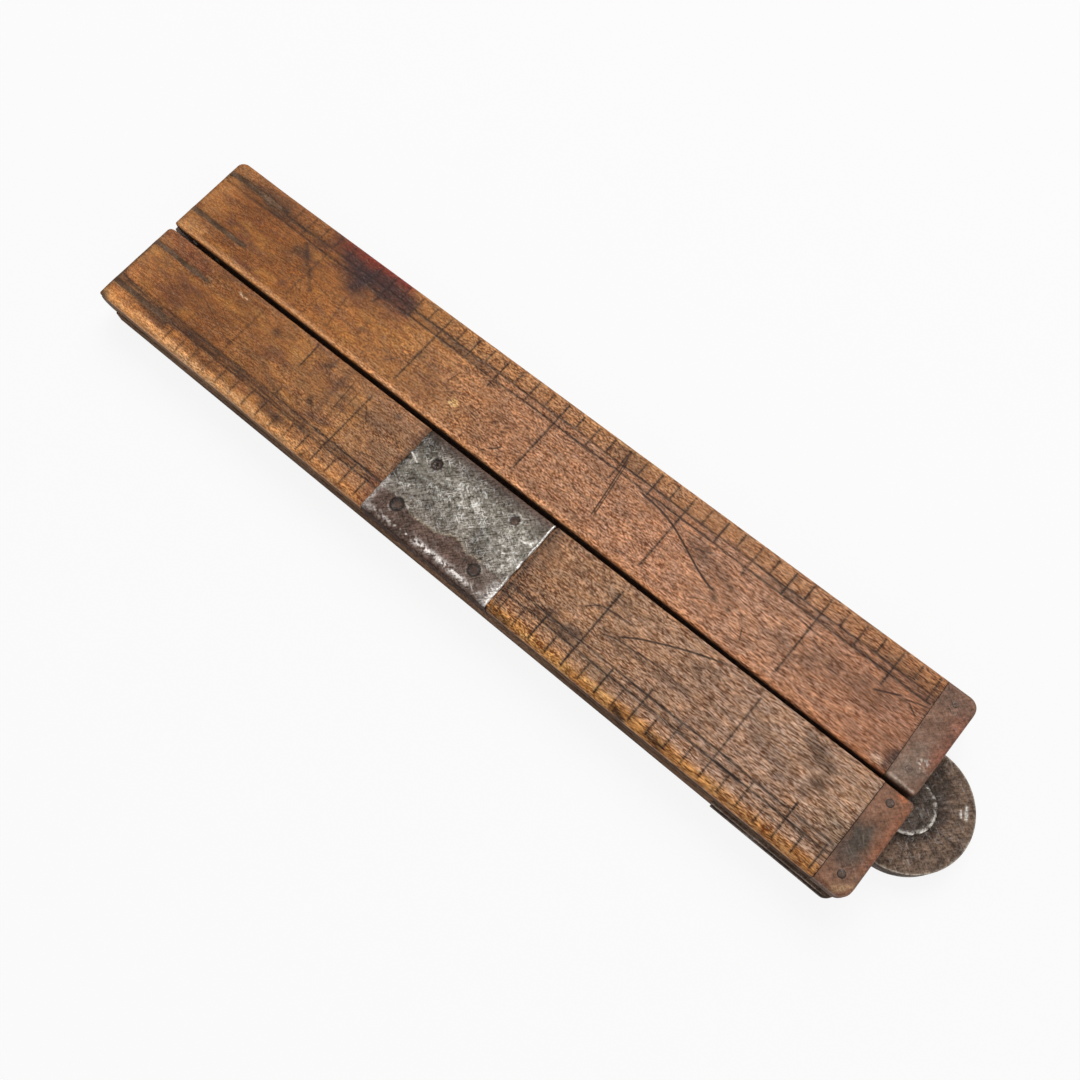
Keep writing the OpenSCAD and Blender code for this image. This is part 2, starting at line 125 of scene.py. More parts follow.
def plug(node, key, value):
    """Fills one input of a node: a wire is linked to it, and anything else is set on it."""
    if isinstance(value, Wire):
        node.id_data.links.new(value.socket, node.inputs[key])
    else:
        node.inputs[key].default_value = value


def add(tree, kind, inputs=None, **options):
    """Adds a node of that kind. inputs maps a socket's name or number to a value or a wire."""
    made = tree.nodes.new("ShaderNode" + kind)
    for key, value in options.items():
        setattr(made, key, value)
    for key, value in (inputs or {}).items():
        plug(made, key, value)
    return made


def wire(tree, kind, inputs=None, out=0, **options):
    """The output of that name or number of a new node."""
    return Wire(add(tree, kind, inputs, **options).outputs[out])


def tree_of(*values):
    """The tree that the first wire among the values is in."""
    return next(v.socket.id_data for v in values if isinstance(v, Wire))


def reckon(operation, a, b=0.0, clamp=False):
    """One sum of two values, one of them a wire."""
    return wire(tree_of(a, b), "Math", {0: a, 1: b}, operation=operation, use_clamp=clamp)


def blend(amount, a, b, how="MIX"):
    """Colour a, with b laid over it by the amount."""
    inputs = {0: amount, 6: a, 7: b}
    return wire(tree_of(amount, a, b), "Mix", inputs, 2, data_type="RGBA", blend_type=how)


def steps(value, low, high, out_low=0.0, out_high=1.0):
    """The value, carried smoothly from one range to another."""
    inputs = {0: value, 1: low, 2: high, 3: out_low, 4: out_high}
    return wire(tree_of(value), "MapRange", inputs, interpolation_type="SMOOTHSTEP")


def evenly(value, low, high):
    """The value, carried in straight proportion from that range to 0 to 1, and held at its ends."""
    return wire(tree_of(value), "MapRange", {0: value, 1: low, 2: high}, clamp=True)


print("a wire can be added, taken away, multiplied and blended")

# %% [markdown]
# ## Noise in millimetres
# Wood fibres and pits are fixed in the material, so their noise reads object coordinates. One helper
# turns and stretches those to the size of a grain in millimetres, and every finish starts from it.

# %% Noise and materials
def place(tree, size, offset, turn):
    """Object coordinates in units of the given size in mm along x, y and z, turned and offset."""
    turned_by = {"Vector": wire(tree, "TexCoord", out="Object"), "Rotation": (0.0, 0.0, math.radians(turn))}
    scale = [1 / MM / s for s in size]
    spun = wire(tree, "Mapping", turned_by)
    return wire(tree, "Mapping", {"Vector": spun, "Location": offset, "Scale": scale})


def grain(tree, size, seed, detail=3.0, rough=0.6, turn=0.0, warp=0.0):
    """Noise from 0 to 1 whose grains are about size (x, y, z) mm."""
    at = place(tree, size, (seed * 3.7, seed * 1.9, seed * 5.3), turn)
    inputs = {"Vector": at, "Scale": 1.0, "Detail": detail, "Roughness": rough, "Distortion": warp}
    return wire(tree, "TexNoise", inputs, "Fac")


def finish_of(name):
    """A new material, its tree and its Principled shader."""
    made = bpy.data.materials.new(name)
    made.use_nodes = True
    return made, made.node_tree, made.node_tree.nodes["Principled BSDF"]


def stored(tree, name):
    """The colour and the alpha that a piece stores at its vertices under that name."""
    out = add(tree, "Attribute", attribute_name=name, attribute_type="GEOMETRY").outputs
    return Wire(out["Color"]), Wire(out["Alpha"])


print("grains of 1 mm in a metre:", round(1 / MM))

# %% [markdown]
# ## Table and light
# The rule was photographed on plain white with soft light from above and behind, so its near sides
# are dark. A pale table keeps the shadow, and for camera rays alone part of it shines at white, so
# the page stays white without more light on the wood. One large lamp does most of the work.

# %% Table and light
TABLE_HALF, TABLE_DROP = 3, 2e-5
TABLE_GREY = (0.70, 0.70, 0.70, 1.0)
SHINING = 0.88


def pale_floor():
    """Diffuse for all light, mixed with plain white where the camera looks straight at it."""
    made, tree, _ = finish_of("pale_table")
    tree.nodes.clear()
    cloth = wire(tree, "BsdfDiffuse", {"Color": TABLE_GREY})
    white = wire(tree, "Emission", {"Color": WHITE, "Strength": 1.0})
    paths = add(tree, "LightPath").outputs
    seen = reckon("MAXIMUM", Wire(paths["Is Camera Ray"]), Wire(paths["Is Glossy Ray"]))
    mixed = wire(tree, "MixShader", {0: seen * SHINING, 1: cloth, 2: white})
    add(tree, "OutputMaterial", {0: mixed})
    return made


corners = [(TABLE_HALF * a, TABLE_HALF * b, -TABLE_DROP) for a, b in ((-1, -1), (1, -1), (1, 1), (-1, 1))]
floor_mesh = bpy.data.meshes.new("table")
floor_mesh.from_pydata(corners, [], [(0, 1, 2, 3)])
floor = bpy.data.objects.new("table", floor_mesh)
floor_mesh.materials.append(pale_floor())
bpy.context.scene.collection.objects.link(floor)


def softbox(name, at, size, watts):
    """A square lamp at a point in metres that faces the middle of the table."""
    data = bpy.data.lights.new(name, "AREA")
    data.shape, data.size, data.energy = "SQUARE", size, watts
    lamp = bpy.data.objects.new(name, data)
    lamp.location = at
    lamp.rotation_euler = (-Vector(at)).to_track_quat("-Z", "Y").to_euler()
    bpy.context.scene.collection.objects.link(lamp)


softbox("key", (-0.15, 0.45, 0.62), 0.55, 4.4)
softbox("fill", (0.55, -0.20, 0.50), 0.50, 0.8)

world = bpy.data.worlds.new("studio")
world.use_nodes = True
sky = world.node_tree
sky.nodes.clear()
lights = wire(sky, "Background", {"Color": WHITE, "Strength": 0.42})
shows = wire(sky, "Background", {"Color": WHITE, "Strength": 1.0})
looked_at = wire(sky, "LightPath", out="Is Camera Ray")
add(sky, "OutputWorld", {0: wire(sky, "MixShader", {0: looked_at, 1: lights, 2: shows})})
bpy.context.scene.world = world

# %% [markdown]
# ## Sizes
# All pieces are worked out in millimetres in a leg's own frame: x from the knuckle hinge towards the
# tip, y from the inner edge to the outer one, and h down from the outer face. The far pair and the
# near pair mirror each other, so one frame serves all. What the solids can tell is read from them.

# %% Sizes
far_low, far_high = [np.array(v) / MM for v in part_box("far_upper_leg")]
LEG_X = far_low[0]
HALF_GAP = far_low[1]
TOP = far_high[2]
WIDTH = far_high[1] - far_low[1]
THICK = 4.0
LEG = 152.4
NEAR_LEG = 153.2
TIP = 5.3
HINGE_H = TOP / 2
BARREL_ROOM = 2.1
STRAP_LENGTH = 13.4
INCH = 25.4
FAR, NEAR = 1, -1
sleeve_low, sleeve_high = [np.array(v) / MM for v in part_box("splice_sleeve")]
SLEEVE_X0 = sleeve_low[0] - LEG_X
SLEEVE_X1 = sleeve_high[0] - LEG_X
SHEET = 0.5
PROUD = sleeve_high[2] - TOP
print("leg", round(WIDTH, 2), "mm wide, sleeve", round(SLEEVE_X0, 1), "to", round(SLEEVE_X1, 1))

# %% [markdown]
# ## Soft steps, edges and noise
# Each worn surface is worked out as whole arrays, so its wear has to be a formula too. A few are
# enough: a smooth step, the fall of a rounded edge, a soft spot or line, and noise on a lattice.
# A texture could give noise too, but not the same noise to the shape and to the paint.

# %% Array helpers
LATTICE = 256


def smooth(a, b, x):
    """0 before a, 1 past b, and 3tt - 2ttt between them."""
    t = np.clip((x - a) / (b - a), 0, 1)
    return t * t * (3 - 2 * t)


def rounding(d, r):
    """How far an edge rounded with radius r has fallen away at distance d from it."""
    s = np.clip(r - d, 0, r)
    return r - np.sqrt(np.maximum(r * r - s * s, 0))


def bump(x, y, at, size):
    """A soft spot: exp(-q), q being the squared distance from a point in units of its size."""
    return np.exp(-(((x - at[0]) / size[0]) ** 2 + ((y - at[1]) / size[1]) ** 2))


def ridge(distance, width):
    """A soft line: exp(-qq), q being the distance from it in units of its width."""
    return np.exp(-(distance / width) ** 2)


def cloud(x, y, long, wide, seed, layers=3):
    """Lattice noise from -1 to 1: random values on cells of long by wide mm, blended smoothly."""
    lattice = np.random.default_rng(seed).uniform(-1, 1, (LATTICE, LATTICE))
    total, weight = 0.0, 0.0
    for k in range(layers):
        u, v = x / long * 2 ** k + 17.3 * k + 90, y / wide * 2 ** k + 5.1 * k + 90
        i, j = np.floor(u).astype(int), np.floor(v).astype(int)
        fu, fv = smooth(0, 1, u - i), smooth(0, 1, v - j)
        here, i1, j1 = i % LATTICE, (i + 1) % LATTICE, (j + 1) % LATTICE
        near = lattice[here, j % LATTICE] * (1 - fv) + lattice[here, j1] * fv
        past = lattice[i1, j % LATTICE] * (1 - fv) + lattice[i1, j1] * fv
        total = total + (near * (1 - fu) + past * fu) * 0.5 ** k
        weight += 0.5 ** k
    return total / weight


def clouds(x, y, sizes, seed, flat=1.0):
    """Big, middling and fine noise, each with its own cell size and the next seed."""
    return [cloud(x, y, size, size * flat, seed + k) for k, size in enumerate(sizes)]


across_leg = np.linspace(0, WIDTH, 200)
print("noise over a leg's width:", round(cloud(across_leg, across_leg, 4.0, 4.0, 1).std(), 2), "about 0")

# %% [markdown]
# ## Lines and paint
# Scratches, folds and scribed lines are broken or curved lines, and all that a surface has to know
# of them is how far off they are. Paint is laid in coats: each covers what is under it by an amount.

# %% Lines
def to_line(x, y, a, d):
    """The share of the straight line from a along d that is gone by beside a point, and how far off
    the point is from there: the point's own vector times d, over dd, and the length of the rest."""
    t = np.clip(((x - a[0]) * d[0] + (y - a[1]) * d[1]) / max(d @ d, 1e-9), 0, 1)
    return t, np.hypot(x - a[0] - t * d[0], y - a[1] - t * d[1])


def signed_distance(x, y, points):
    """Distance to a broken line, positive on its left, and the share of the line gone by there."""
    points = np.asarray(points, float)
    best = np.full(np.shape(x), np.inf)
    side, along = np.zeros(np.shape(x)), np.zeros(np.shape(x))
    for k, (a, b) in enumerate(zip(points[:-1], points[1:])):
        d = b - a
        t, gap = to_line(x, y, a, d)
        turn = np.sign(d[0] * (y - a[1]) - d[1] * (x - a[0]))
        closer = gap < best
        best = np.where(closer, gap, best)
        side = np.where(closer, turn, side)
        along = np.where(closer, (k + t) / (len(points) - 1), along)
    return best * np.where(side < 0, -1, 1), along


def through(points, n=8):
    """A smooth line through the points: the cubic of each stretch keeps the slopes of its ends."""
    p = np.asarray(points, float)
    if len(p) < 3:
        return p
    slope = np.gradient(p, axis=0)
    t = np.linspace(0, 1, n, endpoint=False)[None, :, None]
    a, b, ma, mb = p[:-1, None], p[1:, None], slope[:-1, None], slope[1:, None]
    c = (2 * t ** 3 - 3 * t ** 2 + 1) * a + (t ** 3 - 2 * t ** 2 + t) * ma
    c = c + (3 * t ** 2 - 2 * t ** 3) * b + (t ** 3 - t ** 2) * mb
    return np.concatenate([c.reshape(-1, 2), p[-1:]])


print("a curve through three points has", len(through([(0, 0), (1, 1), (2, 0)])), "points")

# %% Coats of paint
def over(base, colour, amount):
    """A coat of paint: base (1 - amount) + colour amount, the colour one for all or one a point."""
    coat = linear(*colour) if np.ndim(colour) == 1 else colour
    return base * (1 - amount[..., None]) + coat * amount[..., None]


def toned(colour, shade):
    """One colour, made lighter and darker by the shade of each point."""
    return linear(*colour) * shade[..., None]


def painted(c, fourth):
    """Colour and one more number side by side, each held between 0 and 1."""
    return np.concatenate([np.clip(c, 0, 1), np.clip(fourth, 0, 1)[..., None]], -1)


def stops_at(x, stops):
    """A value along x, in straight steps between the stops (x, value)."""
    return np.interp(x, *np.array(stops, float).T)


def tones(x, stops):
    """Light along x, in straight steps between the stops (x, screen colour)."""
    light = np.array([linear(*s[1]) for s in stops])
    return np.stack([np.interp(x, [s[0] for s in stops], light[:, k]) for k in range(3)], -1)


def blots(c, x, y, seed, marks):
    """Stains: exp(-qq), q the distance to a short line over a radius that noise makes ragged."""
    for k, (a, b, radius, amount, colour) in enumerate(marks):
        a, b = np.array(a, float), np.array(b, float)
        near = (x > min(a[0], b[0]) - 3.5 * radius) & (x < max(a[0], b[0]) + 3.5 * radius)
        px, py = x[near], y[near]
        _, gap = to_line(px, py, a, b - a)
        ragged = 1 + 0.5 * cloud(px, py, 2.2 * radius + 0.5, radius + 0.3, seed + k)
        c[near] = over(c[near], colour, amount * ridge(gap, radius * ragged))
    return c


print("half a coat of white on black is", over(linear(0, 0, 0), (255, 255, 255), np.array([0.5]))[0])

# %% [markdown]
# ## Meshes from grids
# A surface is a grid of points: one direction runs along the piece and the other once round its
# section, so every piece here is a tube with its ends shut. That is one helper for all of them, and
# the colours go in as vertex attributes, because they follow the surface wherever it rides.

# %% Meshes from grids
END_RING = 0.03


def outward(points, quads, tris):
    """True if the faces point outwards: the signed volume under them is positive."""
    t = np.concatenate([quads[:, [0, 1, 2]], quads[:, [0, 2, 3]], tris])
    a, b, c = points[t[:, 0]], points[t[:, 1]], points[t[:, 2]]
    return np.einsum("ij,ij->i", a, np.cross(b, c)).sum() > 0


def mesh_piece(name, shell, finish):
    """An object from a shell of points in mm in the row frame, its faces and its stored colours."""
    points, quads, tris, stores = shell
    if not outward(points - points.mean(0), quads, tris):
        quads, tris = quads[:, ::-1], tris[:, ::-1]
    mesh = bpy.data.meshes.new(name)
    mesh.from_pydata((points * MM).tolist(), [], quads.tolist() + tris.tolist())
    mesh.polygons.foreach_set("use_smooth", np.ones(len(mesh.polygons), bool))
    for key, values in stores.items():
        layer = mesh.attributes.new(key, "FLOAT_COLOR", "POINT")
        layer.data.foreach_set("color", values.astype(np.float32).ravel())
    mesh.materials.append(finish)
    mesh.update()
    piece = bpy.data.objects.new(name, mesh)
    bpy.context.scene.collection.objects.link(piece)
    print(name, len(points), "points,", 2 * len(quads) + len(tris), "triangles")
    return piece


def tube(grid, stores):
    """A shell from a grid (along, round, 3) that closes round, with a fan of triangles on each end.
    A slightly smaller ring before each fan keeps the flat end clear of the rounded edge."""
    first, last = grid[:1], grid[-1:]
    a, b = first.mean(1, keepdims=True), last.mean(1, keepdims=True)
    grid = np.concatenate([first + (a - first) * END_RING, grid, last + (b - last) * END_RING])
    n, m = grid.shape[:2]
    i, j = np.meshgrid(np.arange(n - 1), np.arange(m), indexing="ij")
    k = (j + 1) % m
    quads = np.stack([i * m + j, i * m + k, (i + 1) * m + k, (i + 1) * m + j], -1).reshape(-1, 4)
    j = np.arange(m)
    k = (j + 1) % m
    start_hub, end_hub = np.full(m, n * m), np.full(m, n * m + 1)
    tris = np.concatenate([np.stack([start_hub, k, j], -1),
                           np.stack([end_hub, (n - 1) * m + j, (n - 1) * m + k], -1)])
    points = np.concatenate([grid.reshape(-1, 3), grid[0].mean(0)[None], grid[-1].mean(0)[None]])
    flat = {}
    for key, v in stores.items():
        v = np.concatenate([v[:1], v, v[-1:]]).reshape(-1, v.shape[-1])
        flat[key] = np.concatenate([v, v[:m].mean(0)[None], v[-m:].mean(0)[None]])
    return points, quads, tris, flat


def joined(shells):
    """Several closed shells as one, each one's faces counting on from the points before it."""
    starts = np.cumsum([0] + [len(shell[0]) for shell in shells])
    points = np.concatenate([shell[0] for shell in shells])
    quads, tris = [np.concatenate([shell[k] + start for shell, start in zip(shells, starts)]) for k in (1, 2)]
    return points, quads, tris, {"tint": np.concatenate([shell[3]["tint"] for shell in shells])}


def to_row(x, y, h, side, top=TOP):
    """A leg's own frame to the row frame: the near pair is the far one mirrored in y."""
    return np.stack([LEG_X + x, side * (HALF_GAP + y), top - h], -1)


print("a leg's hinge end starts at x", round(LEG_X, 1), "mm in the row frame")

# %% [markdown]
# ## The legs' form
# A leg is a flat bar with rounded long edges. Its section is walked once: across the outer face,
# down the outer side, back across the inner face and up the inner side. Rows lie close together
# at the edges and at the scribed lines, columns at the marks, so that the grooves are real.

# %% Rows and columns
EDGE_ROWS = np.array([0.0, 0.02, 0.07, 0.15, 0.27, 0.42, 0.62, 0.85])
SIDE_ROWS = 4
UNDER_R = 0.6


def spread(low, high, gap, keep=(), offsets=(0.0,)):
    """Places from low to high about gap apart, with the offsets round each kept place put in."""
    plain = np.linspace(low, high, int(round((high - low) / gap)) + 1)
    kept = np.add.outer(np.asarray(keep, float), np.asarray(offsets)).ravel()
    kept = kept[(kept > low) & (kept < high)]
    if len(kept):
        clear = np.abs(plain[:, None] - kept[None]).min(1) > gap * 0.45
        clear[[0, -1]] = True
        plain = np.concatenate([plain[clear], kept])
    return np.unique(np.round(plain, 4))


def section(gap, keep=(), offsets=(0.0,), under_gap=1.0):
    """Places across and shares down, once round: outer face, outer side, inner face, inner side."""
    face = spread(EDGE_ROWS[-1], WIDTH - EDGE_ROWS[-1], gap, keep, offsets)
    face = np.concatenate([EDGE_ROWS[:-1], face, WIDTH - EDGE_ROWS[-2::-1]])
    under = spread(EDGE_ROWS[-1], WIDTH - EDGE_ROWS[-1], under_gap, keep, (-0.3, 0.0, 0.3))
    under = np.concatenate([EDGE_ROWS[:-1:2], under, WIDTH - EDGE_ROWS[-3::-2]])
    side = np.linspace(0, 1, SIDE_ROWS + 2)[1:-1]
    across = np.concatenate([face, np.full(len(side), WIDTH), under[::-1], np.zeros(len(side))])
    down = np.concatenate([np.zeros(len(face)), side, np.ones(len(under)), side[::-1]])
    return across, down


def bar(x, y, down, ends, corners, edge_r, worn, under):
    """The form of a bar in its own frame. ends are its two x, corners the rounding in plan of the
    (first inner, first outer, last inner, last outer) corner and then of the two end edges,
    edge_r the rounding of the inner and the outer long edge, worn the wear off the outer face
    and under the height of the inner face."""
    back, ahead = x - ends[0], ends[1] - x
    inner = rounding(back, corners[0]) + rounding(ahead, corners[2])
    outer = rounding(back, corners[1]) + rounding(ahead, corners[3])
    drop = rounding(back, corners[4]) + rounding(ahead, corners[5])
    fall = rounding(y, edge_r[0]) + rounding(WIDTH - y, edge_r[1])
    h_out = drop + fall + worn
    h_in = under - drop - rounding(np.minimum(y, WIDTH - y), UNDER_R)
    across = y + (1 - y / WIDTH) * inner - y / WIDTH * outer
    return across, h_out * (1 - down) + h_in * down


print("a plain section has", len(section(0.25)[0]), "places once round")

# %% [markdown]
# ## Scale marks
# The marks are eighths of an inch counted back from the tip, scribed from the outer edge inwards,
# and two long lines tie them together. They could be painted on alone, but a scriber's groove
# catches the light, so each is cut into the surface and then painted dark at its vertices.

# %% Scale marks
SCALE_START = 14.0
EIGHTH, EIGHTHS = INCH / 8, 48


def mark_places(zero, low, high):
    """Where the marks between two distances from the hinge are."""
    at = zero - np.arange(EIGHTHS + 1) * EIGHTH
    return at[(at > low) & (at < high)]


def scribed(x, y, look):
    """How deep a scribed line goes, 0 to 1, and how dark it is, for marks and long lines: exp(-qq),
    q being the distance to the line in units of its half width, cut off where the line ends."""
    seed, zero, fade = look["seed"] + 40, look["zero"], look["fade"]
    rank = np.rint((zero - x) / EIGHTH)
    off = x - (zero - rank * EIGHTH) + 0.03 * cloud(x, y, 40.0, 5.0, seed)
    rank = rank.astype(int)
    inches, halves, quarters, eighths = look["reach"]
    length = np.select([rank % 8 == 0, rank % 4 == 0, rank % 2 == 0], [inches, halves, quarters], eighths)
    length = length + np.random.default_rng(seed).uniform(-0.3, 0.3, 64)[rank % 64]
    strength = np.random.default_rng(seed + 1).uniform(0.72, 1.0, 64)[rank % 64]
    edge = WIDTH - y
    kept = smooth(22.0, 58.0, x)
    mark = ridge(off, 0.25 - 0.04 * kept) * smooth(0.35, 0.65, edge) * strength
    mark *= 0.6 + 0.4 * kept
    mark *= 1 - smooth(length - 0.15, length + 0.15, edge)
    total = mark * ((x > SCALE_START) & (x < look["mark_end"]))
    for k, (line, start, end) in enumerate(look["lines"]):
        wave = 0.16 * cloud(x, 0 * y + k, 8.0, 1.0, seed + 5)
        body = ridge(edge - line + wave, 0.22 - 0.03 * kept) * (x > start) * (x < end)
        body = body * (0.7 + 0.3 * kept)
        body = body * (0.88 + 0.25 * cloud(x, 0 * y + 3 * k, 6.0, 1.0, seed + 7))
        total = np.maximum(total, body)
    dark = total * (fade[0] + fade[1] * cloud(x, y, 7.0, 2.0, seed + 9))
    return total, np.clip(dark, 0, 1)


print("marks on the far leg:", len(mark_places(LEG, SCALE_START, LEG - TIP)))

# %% [markdown]
# ## Scratches
# A scratch is finer than the grid, so painting it at the vertices would blur it. Each vertex stores
# its signed distance to the nearest scratch instead: that number runs straight from one vertex to
# the next, and the shader finds the crisp line where it passes zero.

# %% Scratches
FAR_OFF = 9.0


def scratch_store(x, y, layers):
    """For each of two layers, the distance in half widths and the strength of the nearest scratch."""
    out = []
    for layer in layers:
        q, s = np.full(np.shape(x), FAR_OFF), np.zeros(np.shape(x))
        for points, half, strength in layer:
            d, along = signed_distance(x, y, through(points))
            d = d / (1.55 * half)
            ends = smooth(0, 0.12, along) * (1 - smooth(0.88, 1.0, along))
            here = strength * ends * (1 - smooth(3.0, 5.0, np.abs(d)))
            closer = np.abs(d) < np.abs(q)
            q, s = np.where(closer, d, q), np.where(closer, here, s)
        out += [np.clip(q, -FAR_OFF, FAR_OFF), s]
    return np.stack(out, -1)


print("numbers stored for scratches:", scratch_store(np.zeros(1), np.zeros(1), ([], [])).shape[-1])

# %% [markdown]
# ## Painting the wood
# Boxwood darkens where it is handled and goes golden where a hand or pocket rubs it. The paint is
# stored at the vertices: a tone that changes along the leg, cloudy patches, stains as soft spots
# round short lines, dark grime in the marks, and pale wear on the edges. The fine fibres are left
# to the shader, because they are much smaller than the grid.

# %% Wood paint
GRIME, JOINT_DIRT, END_DIRT = (38, 28, 23), (45, 32, 24), (70, 50, 36)
STRAP_BROWN = (88, 64, 43)
OLD_DIRT = (96, 66, 46)
GOLDEN, RED_BROWN, TAN = (186, 126, 62), (100, 62, 48), (190, 132, 86)
GREY_BROWN, PINK_TAN = (92, 66, 52), (214, 166, 136)


def strap_shows(x, y, rows, seed):
    """Where a strap's edge is bare of wood: a strip along it, under 1 mm wide, its sides ragged."""
    total = np.zeros(np.shape(x))
    for k, (at, thin) in enumerate(rows):
        half = 0.44 - thin * (0.5 + 0.6 * cloud(x, 0 * y + k, 2.0, 1.0, seed + k))
        off = np.abs(y - at + 0.12 * cloud(x, 0 * y + k, 4.0, 1.0, seed + 9 + k))
        end = STRAP_LENGTH - 0.5 + 0.4 * np.sin(9 * y)
        total = np.maximum(total, (off < half) * (x < end) * (x > 0.2))
    return total


def paint_wood(x, y, look):
    """Colour of a leg's faces: tone, clouds, edge bands, halos of the long lines, stains and end dirt."""
    seed, edge = look["seed"], WIDTH - y
    big = cloud(x, y, 16.0, 5.0, seed)
    mid = cloud(x, y, 4.0, 1.3, seed + 1)
    fine = cloud(x, y, 1.3, 0.5, seed + 2)
    c = tones(x + 3 * big, look["stops"])
    c = c * (1 + 0.18 * big + 0.20 * mid + 0.16 * fine)[..., None]
    hinge_half = 1 - smooth(40, 75, x)
    for colour, where, amount, low, high, long, wide, k in (
            (OLD_DIRT, 1, 0.4, 0.2, 0.8, 6.0, 2.6, 3),
            (GOLDEN, hinge_half, 0.42, 0.0, 0.6, 5.0, 1.5, 15),
            (RED_BROWN, hinge_half, 0.55, 0.0, 0.55, 4.0, 1.6, 16),
            (TAN, 1, 0.25, 0.25, 0.8, 2.4, 0.9, 14),
            (GREY_BROWN, 1 - hinge_half, 0.32, 0.1, 0.7, 3.6, 1.5, 17),
            (PINK_TAN, 1 - hinge_half, 0.3, 0.3, 0.8, 1.4, 0.6, 18)):
        c = over(c, colour, amount * where * smooth(low, high, cloud(x, y, long, wide, seed + k)))
    band = 1 - smooth(-0.7, 0.7, edge - look["band_width"] + 0.5 * cloud(x, y, 5.0, 2.0, seed + 4))
    c = over(c, tones(x, look["band"]), look["band_amount"] * band)
    c = c * (1 + look["lift"] * (1 - smooth(3.0, 4.2, edge + 0.3 * mid)))[..., None]
    rim = 1 - smooth(0.3, 1.3, y + 0.3 * cloud(x, y, 6.0, 1.0, seed + 5))
    c = over(c, tones(x, look["rim"]), look["rim_amount"] * rim)
    for k, (line, start, end) in enumerate(look["lines"]):
        halo = ridge(edge - line + 0.15, 0.55) * (x > start - 1) * (x < end)
        halo = halo * smooth(-0.1, 0.7, cloud(x, y, 3.0, 0.45, seed + 12 + k))
        c = over(c, (70, 50, 40), 0.4 * halo)
    c = blots(c, x, y, seed + 20, look["stains"])
    return over(c, END_DIRT, np.exp(-x / 0.5) * 0.55)


def paint_sides(c, x, y, down, look):
    """Below the rounded edges the sides are painted dark as painted shade, and the inner face has a tone of
    its own that darkens towards the hinge end.
    """
    seed = look["seed"] + 60
    deep, face = smooth(0.02, 0.22, down), smooth(0.97, 1.0, down)
    # painted shade: the dark tones of the sides stand for the shade they lie in
    side = tones(x, look["side"]) * (1 + 0.25 * cloud(x, 4 * down, 5.0, 1.0, seed))[..., None]
    c = over(c, side, deep * (1 - face))
    shade = (1 + 0.2 * cloud(x, y, 6.0, 1.5, seed + 1)) * smooth(-2.5, 4.0, x)
    return over(c, tones(x, look["inside"]) * shade[..., None], face)


print("the straps' brown is", round(rgba(STRAP_BROWN)[0], 3), "red in light")

# %% [markdown]
# ## Wood finish
# The stored paint gives the large tones. The shader multiplies it with fibres: noise that is three
# to seven times longer along the leg than across it, dark in the hollows and pale where it is worn.
# The same noise drives a fine bump and the gloss, so the wood looks handled and not varnished.
# Scratches come out of the two stored distances as thin dark lines.

# %% Fibres and scratches
HOLLOW, RUBBED = (0.34, 0.21, 0.12, 1.0), (2.05, 2.26, 2.55, 1.0)
WARM, WARM_GOLD = (1.06, 0.99, 0.88, 1.0), (1.10, 1.0, 0.80, 1.0)
COOL, COOL_GOLD = (0.96, 0.99, 1.03, 1.0), (0.90, 0.91, 0.86, 1.0)
PORE, BLEACHED, SCRATCHED = rgba((58, 36, 22)), rgba((236, 206, 172)), rgba((42, 28, 22))
THREADS_FROM, THREADS_FULL = 10 * MM, 45 * MM


def fibres(tree, seed):
    """Long and short fibres and flecks, which turn to longer threads towards the tip."""
    long_fibre = grain(tree, (3.0, 0.42, 0.42), seed, 3.0, 0.62, turn=3, warp=0.3)
    short_fibre = grain(tree, (1.3, 0.25, 0.25), seed + 1, 2.0, 0.6, turn=-6, warp=0.2)
    fleck = grain(tree, (0.48, 0.18, 0.18), seed + 6, 2.0, 0.5, turn=9)
    thread = grain(tree, (0.95, 0.17, 0.17), seed + 8, 2.0, 0.5, turn=2)
    along = wire(tree, "SeparateXYZ", {0: wire(tree, "TexCoord", out="Object")})
    late = steps(along, THREADS_FROM, THREADS_FULL, 0.0, 0.65)
    return long_fibre * 0.22 + short_fibre * 0.30 + (thread * late + fleck * (1.0 - late)) * 0.48


def scratch_lines(tree, colour, height):
    """A dark line and a groove wherever one of the two stored distances passes zero."""
    distances, fourth = stored(tree, "scratch")
    first, first_strength, second = add(tree, "SeparateColor", {0: distances}).outputs
    for off, strength in ((first, Wire(first_strength)), (second, fourth)):
        line = steps(abs(Wire(off)), 0.55, 1.45, 1.0, 0.0) * strength
        colour = blend(line, colour, SCRATCHED)
        height = height - line
    return colour, height


print("threads are full", round(THREADS_FULL / MM), "mm past the middle of the rule")

